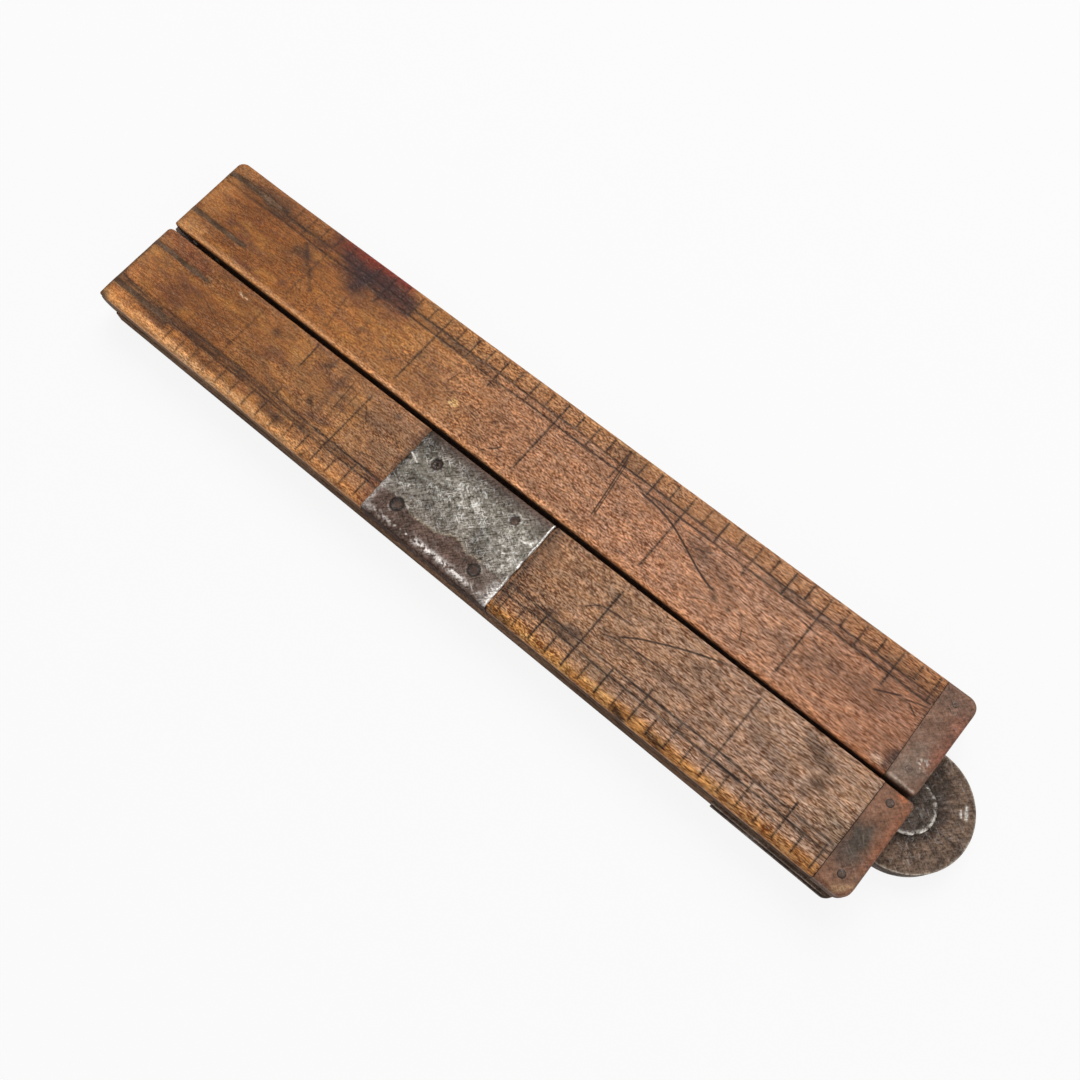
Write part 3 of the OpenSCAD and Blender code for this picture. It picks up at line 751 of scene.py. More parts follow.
# %% Wood finish
def wood_finish(name, seed, contrast=1.0, base=None):
    """Stored paint, or a plain tone if there is a base colour, under fibres, pores and scratches."""
    made, tree, shader = finish_of(name)
    grown = fibres(tree, seed)
    shade = blend(evenly(grown, 0.5 - 0.066 / contrast, 0.5 + 0.115 / contrast), HOLLOW, RUBBED)
    pores = steps(grain(tree, (1.7, 0.18, 0.18), seed + 4, 2.0, turn=-3), 0.62, 0.70)
    pale = steps(grain(tree, (1.2, 0.17, 0.17), seed + 11, 2.0, turn=5), 0.61, 0.70)
    if base is None:
        tint, matt = stored(tree, "tint")
        numbers, _ = stored(tree, "grain")
        strength, gold = [Wire(out) for out in add(tree, "SeparateColor", {0: numbers}).outputs[:2]]
        shade = blend(strength, WHITE, shade)
        hue = steps(grain(tree, (2.6, 0.9, 0.9), seed + 9, 2.0, 0.55), 0.34, 0.66)
        cool_or_warm = blend(hue, blend(gold, COOL, COOL_GOLD), blend(gold, WARM, WARM_GOLD))
        shade = blend(1.0, shade, cool_or_warm, "MULTIPLY")
        pores, pale = pores * (strength * 0.5), pale * (strength * 0.55)
    else:
        shade = blend(0.6, WHITE, shade)
        patch = steps(grain(tree, (14.0, 3.0, 3.0), seed + 2, 3.0), 0.3, 0.7)
        tint = blend(patch, rgba(base, 0.55), rgba(base, 1.35))
        pores, pale = pores * 0.5, pale * 0.1
    colour = blend(pores, blend(1.0, tint, shade, "MULTIPLY"), PORE)
    colour = blend(pale, colour, blend(0.5, colour, BLEACHED))
    height = grown + pores * -0.15
    gloss = steps(grown, 0.35, 0.65, 0.60, 0.46)
    if base is None:
        colour, height = scratch_lines(tree, colour, height)
        gloss = reckon("MAXIMUM", gloss, matt)
    else:
        gloss = reckon("ADD", gloss, 0.35, clamp=True)
    plug(shader, "Base Color", colour)
    plug(shader, "Roughness", gloss)
    shader.inputs["Specular IOR Level"].default_value = 0.19 if base is None else 0.08
    plug(shader, "Normal", wire(tree, "Bump", {"Height": height, "Strength": 0.5, "Distance": 0.06 * MM}))
    return made


far_wood = wood_finish("far_upper_wood", 3)
hinge_part_wood = wood_finish("near_hinge_wood", 7)
tip_part_wood = wood_finish("near_tip_wood", 9, contrast=1.2)
print("nodes in one wood:", len(far_wood.node_tree.nodes))

# %% [markdown]
# ## Building a leg
# Each upper leg is described by a list of its own: tones, stains, scratches and wear, each with its
# place in mm from the hinge and from the inner edge. One builder turns such a list into a leg, so
# the three pieces of wood are made the same way and differ only in what happened to them.

# %% Leg form and stores
COLUMN_GAP, ROW_GAP = 0.27, 0.25
ROUND_MARK = (-0.3, -0.2, -0.1, 0.0, 0.1, 0.2, 0.3)
ROUND_LINE = (-0.5, -0.36, -0.24, -0.12, 0.0, 0.12, 0.24, 0.36, 0.5)
GROOVE_DEEP, UNDER_GROOVE_DEEP, STRAP_DEEP = 0.07, 0.05, 0.22


def leg_grid(look, ends):
    """Columns close together at the marks, rows at the long lines and the straps."""
    marks = mark_places(look["zero"], max(SCALE_START, ends[0]), ends[1])
    xs = spread(ends[0] + EDGE_ROWS[-1], ends[1] - EDGE_ROWS[-1], COLUMN_GAP, marks, ROUND_MARK)
    xs = np.unique(np.concatenate([ends[0] + EDGE_ROWS, xs, ends[1] - EDGE_ROWS]))
    lines = [WIDTH - line[0] for line in look["lines"]]
    across, down = section(ROW_GAP, lines + [s[0] for s in look["straps"]], ROUND_LINE)
    return np.broadcast_arrays(xs[:, None], across[None], down[None])


def leg_form(x, y, down, ends, look, groove, bare):
    """The bar with its grooves and wear, hollowed under the hinge barrel in an arc, and lower where
    the edge of a strap shows: each adds its depth to the outer or the inner face."""
    to_straps = np.abs(y[..., None] - np.array([s[0] for s in look["straps"]]))
    near_strap = to_straps.min(-1, initial=np.inf) < 0.55
    footprint = near_strap & (x < STRAP_LENGTH + 0.1)
    worn = 0.02 * cloud(x, y, 9.0, 4.0, look["seed"] + 41) + 0.02
    worn = worn + GROOVE_DEEP * groove + STRAP_DEEP * bare - 0.03 * footprint * (1 - bare)
    worn = worn + look["wear"](x, y)
    room = np.sqrt(np.maximum(BARREL_ROOM ** 2 - (x + 0.1) ** 2, 0))
    under = np.minimum(THICK, np.where(room > 0, HINGE_H - room, THICK)) - 0.05 * footprint
    under = under - UNDER_GROOVE_DEEP * groove * (x < ends[1] - 0.4)
    edge_r = (look["edge_r"][0], look["edge_r"][1] * (0.35 + 0.65 * smooth(1.0, 12.0, x)))
    rows, h = bar(x, y, down, ends, look["corners"], edge_r, worn, under)
    return rows + stops_at(x, look["inset"]) * (1 - y / WIDTH), h


def leg_stores(x, y, down, look, dark, bare, joint):
    """What the wood finish reads at each vertex: paint, scratches, and how open and golden it is."""
    outer, seed = down < 0.01, look["seed"]
    c = paint_sides(paint_wood(x, y, look), x, y, down, look)
    c = over(c, GRIME, dark * (outer | (down > 0.99)))
    c = over(c, STRAP_BROWN, 0.85 * bare)
    c = over(c, JOINT_DIRT, joint)
    scratches = scratch_store(x, y, look["scratches"])
    scratches[..., 1::2] *= outer[..., None]
    open_grain = stops_at(x, look["grain"]) * (1 + 0.5 * cloud(x, y, 7.0, 3.0, seed + 70))
    gold = np.clip(stops_at(x, look["gold"]) + 0.3 * cloud(x, y, 9.0, 4.0, seed + 71), 0, 1)
    return {"tint": painted(c, 0.95 * smooth(0.02, 0.2, down)), "scratch": scratches,
            "grain": np.stack([open_grain, gold, gold, gold], -1)}


print("a leg's columns stand", COLUMN_GAP, "mm apart and its rows", ROW_GAP, "mm")

# %% Leg builder
def leg_piece(name, side, ends, look, finish, body, node):
    """One piece of wood: a bar on a grid, its marks cut in, painted and mirrored to its side."""
    x, y, down = leg_grid(look, ends)
    groove, dark = scribed(x, y, look)
    bare = strap_shows(x, y, look["straps"], look["seed"] + 50) * ((down < 0.01) & (x < 15))
    rows, h = leg_form(x, y, down, ends, look, groove, bare)
    joint = look["joint_dirt"] * np.exp(-(ends[1] - x) / 0.22)
    stores = leg_stores(x, y, down, look, dark, bare, joint)
    x = look["ends_shape"](x, rows, h)
    rows, h = look["seat"](x, rows, h)
    piece = mesh_piece(name, tube(to_row(x, rows, h, side), stores), finish)
    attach(piece, body)
    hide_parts(node)


print("a scribed groove is", GROOVE_DEEP, "mm deep, and the wood over a strap", STRAP_DEEP, "mm worn")

# %% [markdown]
# ## The far upper leg
# The far leg is the best kept: warm brown by the hinge, paler and redder past the middle, golden
# along its outer edge and pale on the inner one. Ink or wine was spilt beside the first inch mark.
# Each stain is a short line with a radius, an amount and a colour, placed one by one. A random spread
# would be shorter to write, but an old tool is known by just these marks.

# %% Far leg's stains
DARK, INKY, RED = (58, 42, 34), (58, 36, 38), (126, 44, 28)
FAR_STAINS = [
    ((0.6, 13.9), (14, 14.0), 0.65, 0.75, STRAP_BROWN), ((5, 13.9), (8.5, 14.4), 1.3, 0.6, DARK),
    ((0.4, 1.2), (4.5, 1.6), 1.2, 0.5, (206, 148, 96)),
    ((0.4, 7.5), (1.6, 11.0), 1.0, 0.4, (190, 130, 80)), ((10.5, 14.2), (13.5, 14.3), 1.3, 0.7, DARK),
    ((14, 13.6), (24, 13.4), 1.1, 0.55, DARK), ((9.0, 13.4), (12.5, 12.7), 0.8, 0.6, (62, 52, 44)),
    ((22.0, 10.2), (22.8, 9.6), 0.9, 0.4, (78, 56, 62)), ((0.5, 4.4), (13.2, 4.3), 0.5, 0.75, STRAP_BROWN),
    ((20.7, 9.6), (21.2, 9.6), 0.9, 0.7, DARK), ((21.2, 11.6), (24.2, 8.6), 0.5, 0.7, DARK),
    ((25.2, 8.1), (28.2, 5.1), 0.45, 0.6, DARK), ((25.5, 15.4), (43, 13.4), 2.3, 0.8, (92, 48, 38)),
    ((27.5, 16.2), (41, 16.5), 1.7, 0.95, RED), ((31.0, 12.6), (38, 13.2), 2.3, 0.75, INKY),
    ((33.6, 10.4), (34.2, 13.2), 1.7, 0.8, (50, 36, 42)), ((35, 14.8), (43, 14.2), 1.2, 0.8, INKY),
    ((24, 16), (30, 14.5), 1.5, 0.55, (92, 54, 38)), ((29, 14.2), (33, 13.0), 1.3, 0.7, (62, 40, 42)),
    ((38, 12.6), (44, 12.4), 0.9, 0.5, INKY), ((34, 8.1), (35.2, 1.9), 0.22, 0.5, DARK),
    ((40.2, 7.1), (40.3, 4.1), 0.4, 0.45, DARK), ((44, 13.4), (62, 13.0), 0.7, 0.45, DARK),
    ((52.3, 12.2), (55.3, 13.0), 0.9, 0.4, DARK), ((51.2, 7.6), (51.4, 7.6), 0.7, 0.5, DARK),
    ((68.8, 6.4), (68.9, 6.4), 0.45, 0.6, DARK), ((70.8, 5.8), (70.9, 5.8), 0.4, 0.6, DARK),
    ((64.2, 11.4), (64.4, 11.4), 0.7, 0.5, DARK), ((87.3, 15.8), (91, 16.2), 0.8, 0.55, DARK),
    ((86, 14.6), (93, 14.4), 0.6, 0.4, DARK), ((113.3, 5.4), (113.4, 5.4), 0.55, 0.7, DARK),
    ((116.1, 5.2), (116.3, 5.2), 0.5, 0.6, DARK), ((114.2, 8.1), (114.4, 8.1), 0.8, 0.45, DARK),
    ((124.2, 8.6), (124.4, 8.6), 0.7, 0.45, DARK), ((106, 10.2), (112, 8.6), 1.3, 0.42, DARK),
    ((126, 6), (140, 9), 2.2, 0.35, DARK), ((97.4, 1.8), (98.4, 2.0), 0.3, 0.6, DARK),
    ((118, 13), (136, 12.4), 0.8, 0.4, DARK), ((138, 14), (146.5, 12.8), 1.3, 0.45, DARK),
    ((146.4, 1.1), (146.9, 3.2), 0.9, 0.75, (62, 50, 48)),
    ((144.9, 1.1), (145.3, 1.1), 0.6, 0.6, (196, 170, 150)),
    ((61.0, 4.7), (61.6, 4.8), 0.42, 0.95, (226, 190, 128)),
    ((80, 16.6), (96, 16.6), 0.5, 0.3, (206, 150, 90))]
print("stains on the far leg:", len(FAR_STAINS))

# %% Far leg's scratches
# Two layers, so that scratches can cross. Each has its points, its half width and its strength.
FAR_SCRATCHES = ([
    ([(89.0, 16.1), (90.0, 9.5), (90.9, 3.1)], 0.085, 0.85),
    ([(93.2, 11.9), (95.5, 11.6), (98.5, 11.3), (101.8, 10.4), (105.3, 8.9), (108.8, 7.3), (111.8, 6.3),
     (113.8, 6.1)], 0.11, 0.9), ([(70.9, 2.1), (71.8, 2.9), (72.6, 4.0)], 0.09, 0.8),
    ([(57.9, 6.9), (58.4, 9.3)], 0.08, 0.6), ([(119.3, 4.5), (120.4, 2.1)], 0.08, 0.6),
    ([(139.1, 8.9), (140.8, 9.7), (143.3, 10.9)], 0.1, 0.8), ([(144.2, 10.6), (146.2, 9.4)], 0.08, 0.7),
    ([(58, 4.6), (61, 6.9), (64, 7.3)], 0.07, 0.4), ([(106.2, 9.6), (109.2, 10.8)], 0.09, 0.6),
    ([(76, 9), (80, 8.2), (83, 8.4)], 0.07, 0.45), ([(47, 3.2), (49, 5.5)], 0.07, 0.5),
    ([(20, 6), (25, 7.2), (30, 6.8)], 0.07, 0.35), ([(122, 11.3), (127, 10.6), (131, 10.9)], 0.08, 0.5),
    ([(130, 4), (134, 5.2)], 0.07, 0.45)], [
    ([(89.5, 15.1), (90.4, 9.2), (91.2, 3.6)], 0.075, 0.75), ([(64.8, 5.1), (65.3, 7.1)], 0.07, 0.5),
    ([(143.3, 10.5), (145.3, 11.2), (147, 11.7)], 0.09, 0.7),
    ([(67.2, 0.7), (69.7, 1.3), (71.2, 1.7)], 0.08, 0.6),
    ([(97.3, 11.9), (103, 11.2), (107, 11.4)], 0.07, 0.5), ([(110, 2.8), (113, 4.4)], 0.07, 0.5),
    ([(30, 2), (30.6, 8)], 0.07, 0.3), ([(134, 13.0), (139, 11.7)], 0.08, 0.5),
    ([(78, 12.4), (86, 11.8)], 0.07, 0.4)])
print("scratches on the far leg:", sum(len(layer) for layer in FAR_SCRATCHES))

# %% Far upper leg
far_look = {
    "seed": 11, "zero": LEG, "mark_end": 146.9, "edge_r": (0.3, 0.6), "lift": 0.0, "joint_dirt": 0.6,
    "corners": (0.2, 1.5, 0.0, 0.0, 0.2, 0.0), "reach": (15.0, 6.5, 4.75, 3.35), "fade": (0.95, 0.25),
    "inset": [(0, 0.2), (100, 0.15), (125, -0.05), (147, -0.1)],
    "gold": [(0, 1.0), (40, 0.8), (75, 0.2), (147, 0.2)],
    "grain": [(0, 0.45), (36, 0.55), (55, 0.8), (80, 0.95), (147, 0.95)],
    "lines": [(4.70, 0.6, 146.9), (3.35, SCALE_START, 146.9)], "straps": [(4.35, 0.12), (13.95, 0.20)],
    "stops": [(0, (166, 112, 66)), (8, (129, 78, 41)), (24, (142, 88, 44)), (38, (152, 98, 52)),
              (50, (160, 109, 64)), (70, (158, 110, 76)), (88, (158, 112, 80)), (102, (168, 119, 88)),
              (122, (174, 128, 98)), (138, (163, 114, 85)), (147, (146, 101, 76))],
    "band": [(0, (150, 102, 66)), (22, (140, 90, 52)), (40, (164, 112, 64)), (90, (160, 111, 66)),
             (125, (156, 108, 66)), (147, (150, 100, 56))],
    "band_width": 3.2, "band_amount": 0.62, "rim_amount": 0.78,
    "rim": [(0, (206, 150, 102)), (60, (216, 156, 108)), (100, (188, 132, 92)), (147, (170, 112, 76))],
    # painted shade on the sides
    "side": [(0, (66, 47, 35)), (147, (74, 50, 37))],
    "inside": [(0, (138, 95, 64)), (147, (140, 98, 70))],
    "wear": lambda x, y: (0.10 * bump(x, y, (31.2, 0.4), (0.8, 0.5))
                          + 0.08 * bump(x, y, (40.7, 0.3), (0.7, 0.5))),
    "ends_shape": lambda x, y, h: x + (0.03 - 0.028 * (y - WIDTH / 2)) * smooth(142, 147.1, x),
    "seat": lambda x, y, h: (y, h), "stains": FAR_STAINS, "scratches": FAR_SCRATCHES}
leg_piece("worn_far_leg", FAR, (-0.12, 147.12), far_look, far_wood, "far_upper", "far_upper_leg")

# %% [markdown]
# ## The near upper leg
# This leg broke once on a slant and was mended, so it is two pieces of wood. Both step down under
# the sleeve, which sits in a shallow seat all round them. The break could be left out, because the
# sleeve hides it, but the two pieces then wouldn't end where their solids do.

# %% Seat and break
BREAK, SLANT = 74.95, 4.0
SEAT_ROOM, LIP = 0.03, 4.6


def in_seat(x, y, h):
    """Under the sleeve the wood lies deeper by the sheet's thickness, but for its middle below."""
    amount = smooth(SLEEVE_X0 - 0.12, SLEEVE_X0 - 0.01, x)
    amount = amount * (1 - smooth(SLEEVE_X1 + 0.01, SLEEVE_X1 + 0.12, x))
    tight = np.clip(y, SHEET + SEAT_ROOM, WIDTH - SHEET - SEAT_ROOM)
    over_lip = (y < LIP) | (y > WIDTH - LIP)
    low = np.where(over_lip, np.minimum(h, THICK - SHEET - SEAT_ROOM), h)
    high = np.maximum(low, SHEET - PROUD + SEAT_ROOM)
    return y + (tight - y) * amount, h + (high - h) * amount


def to_break(x, h, start, gap):
    """Shears the wood from start to the break, so that its end lies on the slanted plane."""
    plane = BREAK - SLANT / 2 + SLANT * h / THICK + gap
    return x + (plane - BREAK) * np.clip((x - start) / (BREAK - start), 0, 1)


near_common = {
    "lift": 0.28, "edge_r": (0.3, 1.0), "inset": [(0, 0.0)], "reach": (15.3, 6.8, 5.1, 3.8),
    "band_amount": 0.85, "seat": in_seat,
    # painted shade on the sides
    "side": [(0, (132, 106, 86)), (40, (124, 98, 77)), (60, (106, 80, 58)), (90, (92, 70, 53)),
             (153, (74, 54, 40))],
    "inside": [(0, (135, 96, 67)), (153, (132, 101, 77))]}
print("the break leans", SLANT, "mm from the outer face to the inner one")

# %% [markdown]
# ### The part with the hinge
# It has a pale outer edge where a hand rubbed it, dark spots and cross lines in its middle, and dirt
# packed along both straps.

# %% Hinge part's stains and scratches
# Lists like the far leg's: first the stains, then two layers of scratches.
HINGE_PART_STAINS = [
    ((0.4, 13.2), (13.4, 13.3), 0.75, 0.85, STRAP_BROWN), ((2.5, 12.2), (11, 12.3), 0.22, 0.75, DARK),
    ((0.0, 16.3), (0.9, 16.9), 1.0, 0.95, (88, 70, 54)),
    ((0.1, 4.0), (0.1, 15.0), 0.35, 0.8, (88, 66, 48)),
    ((0.6, 15.6), (2.4, 15.9), 0.8, 0.5, (206, 148, 92)),
    ((0.8, 8.2), (1.4, 10.5), 0.9, 0.4, (196, 134, 84)), ((7, 14.0), (13, 14.2), 0.6, 0.5, DARK),
    ((0.4, 3.65), (13.2, 3.65), 0.55, 0.8, STRAP_BROWN), ((4, 2.9), (10, 3.0), 0.3, 0.5, DARK),
    ((1, 1.2), (11, 2.2), 1.3, 0.6, (110, 62, 46)), ((12, 9.5), (20, 8.5), 2.4, 0.3, (96, 60, 40)),
    ((19.2, 1.7), (19.8, 1.9), 0.17, 0.95, (240, 208, 178)),
    ((20.2, 2.0), (21.2, 1.8), 0.12, 0.9, (226, 188, 154)), ((29.2, 3.1), (29.6, 3.0), 0.75, 0.7, DARK),
    ((40.3, 2.5), (41.1, 2.1), 0.5, 0.8, DARK), ((41.25, 0.2), (41.3, 3.0), 0.2, 0.7, DARK),
    ((42.7, 8.5), (43.1, 8.9), 0.75, 0.85, DARK), ((44.4, 0.6), (45.2, 15.0), 0.75, 0.5, (84, 58, 46)),
    ((46.8, 3), (47.2, 12), 0.7, 0.3, DARK), ((48.2, 16.5), (48.4, 16.5), 0.5, 0.85, (50, 34, 26)),
    ((56.0, 1.7), (56.4, 1.8), 0.5, 0.6, DARK), ((36.7, 0.4), (37.0, 5.4), 0.16, 0.6, DARK),
    ((14, 12.4), (30, 12.2), 0.8, 0.5, DARK), ((30, 12.0), (44, 12.0), 1.0, 0.5, (84, 58, 44)),
    ((37, 14.0), (41, 14.6), 1.1, 0.65, DARK), ((22, 14.8), (31, 14.9), 0.7, 0.45, DARK),
    ((50, 12.2), (61, 12.2), 0.7, 0.4, DARK), ((52, 6), (60, 5), 2.2, 0.25, DARK),
    ((56, 8), (60, 9), 1.0, 0.3, DARK), ((60.6, 12), (61.6, 16), 0.9, 0.55, (104, 56, 40)),
    # A painted shadow: the dark line just before the sleeve's left end.
    ((61.4, 0.5), (61.6, 9), 0.5, 0.65, (70, 48, 36)),
    ((16, 16.4), (34, 16.6), 0.45, 0.45, (224, 176, 130)),
    ((36, 16.5), (46, 16.4), 0.4, 0.4, (216, 162, 112))]
HINGE_PART_SCRATCHES = ([
    ([(36.75, 0.2), (37.05, 5.6)], 0.08, 0.6), ([(33, 6), (37, 7.2), (41, 6.6)], 0.07, 0.4),
    ([(50.5, 3.4), (53, 6.2)], 0.07, 0.5), ([(22, 5), (27, 4.2)], 0.06, 0.4),
    ([(54.2, 10.8), (58, 9.6), (60.8, 9.8)], 0.08, 0.5),
    ([(15, 12.5), (24, 12.9), (33, 12.5), (44, 12.8), (56, 12.4)], 0.12, 0.5)], [
    ([(46.2, 1.2), (46.8, 8.2)], 0.08, 0.5), ([(48.1, 2.2), (48.3, 9.0)], 0.07, 0.45),
    ([(57, 4.0), (60, 6.0)], 0.07, 0.5), ([(14.4, 6.0), (19, 7.8)], 0.07, 0.35)])
print("stains on the part with the hinge:", len(HINGE_PART_STAINS))

# %% Hinge part
hinge_part_look = dict(near_common, **{
    "seed": 31, "zero": LEG - 0.6, "mark_end": 62.0, "corners": (0.9, 0.15, 0.0, 0.0, 0.2, 0.0),
    "gold": [(0, 1.0), (40, 0.8), (62, 0.4)], "grain": [(0, 0.52), (35, 0.62), (55, 0.78), (62, 0.85)],
    "fade": (0.92, 0.25), "lines": [(5.05, 0.6, 62.0), (3.70, SCALE_START, 62.0)], "joint_dirt": 0.0,
    "straps": [(3.65, 0.16), (13.25, 0.08)],
    "stops": [(0, (180, 126, 80)), (3, (158, 104, 62)), (10, (132, 84, 47)), (24, (132, 84, 46)),
              (42, (148, 101, 61)), (62, (150, 110, 79))],
    "band": [(0, (190, 134, 86)), (14, (204, 150, 102)), (40, (200, 146, 98)), (62, (172, 116, 68))],
    "band_width": 1.5, "rim_amount": 0.5,
    "rim": [(0, (128, 76, 56)), (16, (120, 80, 54)), (62, (150, 104, 72))],
    "wear": lambda x, y: (0.10 * (1 - smooth(0.4, 2.2, WIDTH - y))
                          + 0.05 * bump(x, y, (48.3, 16.4), (0.8, 0.5))),
    "ends_shape": lambda x, y, h: to_break(x, h, 66.0, -0.03),
    "stains": HINGE_PART_STAINS, "scratches": HINGE_PART_SCRATCHES})
leg_piece("worn_near_leg_hinge_part", NEAR, (-0.12, BREAK), hinge_part_look, hinge_part_wood, "near_upper",
          "near_upper_leg_hinge_part")

# %% [markdown]
# ### The part with the tip
# It is greyer than the rest, and its golden outer edge is chipped. Two small bites could be painted
# alone, but light from the side would give them away, so they are cut into the form as well.

# %% Tip part's stains and scratches
TIP_PART_STAINS = [
    # The first stain, a dark band just past the sleeve's end, is a painted shadow of the sleeve on the wood.
    ((88.5, 0.4), (88.7, 16.4), 0.45, 0.8, (58, 42, 32)), ((89.4, 1.0), (90.2, 6.0), 0.9, 0.4, DARK),
    ((96.1, 11.3), (96.3, 11.4), 0.8, 0.7, DARK), ((99.7, 11.3), (101.3, 10.9), 0.7, 0.7, DARK),
    ((98.8, 11.9), (99.5, 12.6), 0.35, 0.7, DARK), ((94, 12.4), (101, 12.2), 0.8, 0.4, DARK),
    ((115.2, 14.8), (115.5, 14.8), 0.5, 0.6, DARK), ((102, 3.2), (105, 3.0), 1.3, 0.4, DARK),
    ((104.5, 8.6), (119, 7.9), 0.9, 0.35, DARK), ((117, 4.6), (121, 3.6), 1.5, 0.35, DARK),
    ((104, 13.6), (109, 13.8), 0.9, 0.35, (112, 100, 84)),
    ((128.3, 13.0), (132.6, 13.0), 0.3, 0.85, (54, 40, 32)), ((137.3, 2.2), (141.1, 3.6), 1.5, 0.7, DARK),
    ((141.2, 6.2), (141.4, 6.2), 1.0, 0.75, DARK), ((140.2, 8.4), (140.5, 8.4), 0.8, 0.65, DARK),
    ((127, 13.8), (138, 14.0), 0.8, 0.45, DARK), ((110, 13.4), (126, 13.2), 0.7, 0.35, DARK),
    ((139, 13.4), (147, 13.6), 0.9, 0.4, DARK), ((145.6, 9.0), (147.6, 10.2), 1.5, 0.5, (90, 82, 68)),
    ((130, 5), (136, 8), 2.0, 0.35, DARK), ((95, 16.3), (96.5, 16.2), 0.5, 0.6, (214, 164, 100)),
    ((99, 16.2), (104, 16.4), 0.5, 0.5, (200, 152, 90)),
    ((112.8, 16.3), (114.2, 16.8), 0.6, 0.9, (50, 32, 20)),
    ((118.4, 16.1), (121.2, 16.3), 0.5, 0.85, (48, 32, 20)),
    ((106, 15.6), (111, 15.8), 0.5, 0.5, (206, 160, 100)),
    ((90, 16.6), (92, 16.5), 0.5, 0.7, (70, 44, 22)),
    ((124, 16.2), (134, 16.3), 0.45, 0.4, (196, 140, 80)),
    ((136, 16.4), (146, 16.3), 0.5, 0.35, (190, 130, 70))]
TIP_PART_SCRATCHES = ([
    ([(99.2, 7.3), (101.2, 5.6), (104.2, 5.1), (107.2, 4.9)], 0.09, 0.75),
    ([(105.2, 8.4), (108.2, 6.3), (111.2, 4.7), (114.2, 3.3), (118.2, 1.7), (122.2, 0.4)], 0.10, 0.85),
    ([(92.3, 9.3), (95.5, 10.7), (98, 10.6)], 0.08, 0.5), ([(128.2, 13.0), (132.7, 13.1)], 0.12, 0.9),
    ([(109.5, 12.6), (114, 11.6), (119, 11.9)], 0.08, 0.5), ([(124, 6.5), (130, 7.3)], 0.06, 0.4),
    ([(133, 14.9), (138, 14.2), (142, 14.7)], 0.08, 0.5),
    ([(91, 14.4), (97, 14.0), (103, 14.5)], 0.07, 0.5)], [
    ([(103.2, 9.1), (106.2, 8.1), (109.2, 7.8), (113.2, 7.4), (119.2, 7.7)], 0.08, 0.7),
    ([(90.3, 11.4), (94.5, 11.0), (96.5, 12.1), (99, 11.2)], 0.07, 0.6),
    ([(120.5, 13.2), (125, 12.0)], 0.07, 0.5), ([(141.5, 11.8), (146, 12.4)], 0.08, 0.5),
    ([(134.5, 9.6), (137, 8.6)], 0.06, 0.4)])
print("stains on the part with the tip:", len(TIP_PART_STAINS))

# %% Tip part
def chipped(x, y):
    """A ragged outer edge: a smooth step in depth, made uneven by noise, with two deeper bites."""
    edge = (0.16 + 0.10 * cloud(x, y, 2.6, 3.0, 88)) * (1 - smooth(0.3, 1.9, WIDTH - y))
    return edge + 0.12 * bump(x, y, (115.3, 16.6), (1.6, 0.5)) + 0.10 * bump(x, y, (120.2, 16.4), (2.0, 0.5))


tip_part_look = dict(near_common, **{
    "seed": 47, "zero": NEAR_LEG, "mark_end": 147.6, "corners": (0.0,) * 6, "fade": (0.95, 0.22),
    "gold": [(75, 0.2), (148, 0.0)], "grain": [(75, 0.9), (95, 1.0), (148, 1.0)], "joint_dirt": 0.6,
    "lines": [(5.30, 88.2, 147.6), (3.85, 88.2, 147.6)], "straps": [],
    "stops": [(75, (144, 104, 76)), (90, (147, 107, 76)), (104, (158, 119, 88)),
              (124, (156, 121, 96)), (134, (165, 131, 106)), (148, (158, 124, 98))],
    "band": [(75, (150, 100, 54)), (92, (168, 114, 56)), (120, (158, 106, 50)), (148, (150, 100, 50))],
    "band_width": 1.7, "rim": [(75, (128, 92, 68)), (148, (150, 112, 84))], "rim_amount": 0.4,
    "wear": chipped,
    "ends_shape": lambda x, y, h: to_break(x, h, 84.0, 0.03) + (0.18 - 0.01 * y) * smooth(143, 147.9, x),
    "stains": TIP_PART_STAINS, "scratches": TIP_PART_SCRATCHES})
leg_piece("worn_near_leg_tip_part", NEAR, (BREAK, 147.93), tip_part_look, tip_part_wood, "near_upper",
          "near_upper_leg_tip_part")

# %% [markdown]
# ## Metal finish
# The old metals are half bare and half brown with rust or tarnish. The stored paint says where, and
# the shader adds pitting, creases and crossing hairlines. Noise that is six to ten times longer one
# way makes hairlines, and where a place is bare it is also smoother, because wear has polished it.

# %% Metal finish
DULL, KEEN = (0.46, 0.44, 0.42, 1.0), (1.52, 1.53, 1.54, 1.0)
SPOT = 2.2
PIT_DIRT, FAINT_LINE, FRESH = rgba((46, 36, 29)), rgba((52, 42, 36)), (0.74, 0.72, 0.69, 1.0)


def hairlines_of(tree, seed):
    """Bright creases and hairlines, and faint dark ones, each kept to zones of its own."""
    first = grain(tree, (2.4, 0.23, 0.8), seed + 2, 2.0, turn=33)
    second = grain(tree, (1.8, 0.21, 0.8), seed + 3, 2.0, turn=-48)
    third = grain(tree, (1.3, 0.21, 0.8), seed + 9, 2.0, turn=82)
    folds = grain(tree, (1.2, 0.9, 0.9), seed + 7, 3.0, 0.6, warp=0.9)
    bright = steps(abs(folds - 0.5), 0.0, 0.02, 1.0, 0.0)
    for hairline in (first, second, third):
        bright = reckon("MAXIMUM", bright, steps(hairline, 0.60, 0.64))
    zone = grain(tree, (1.3, 1.1, 1.1), seed + 8, 3.0, 0.7)
    faint = steps(second, 0.43, 0.38) * steps(zone, 0.62, 0.48)
    return bright * steps(zone, 0.44, 0.58), faint, (first + second) * 0.14


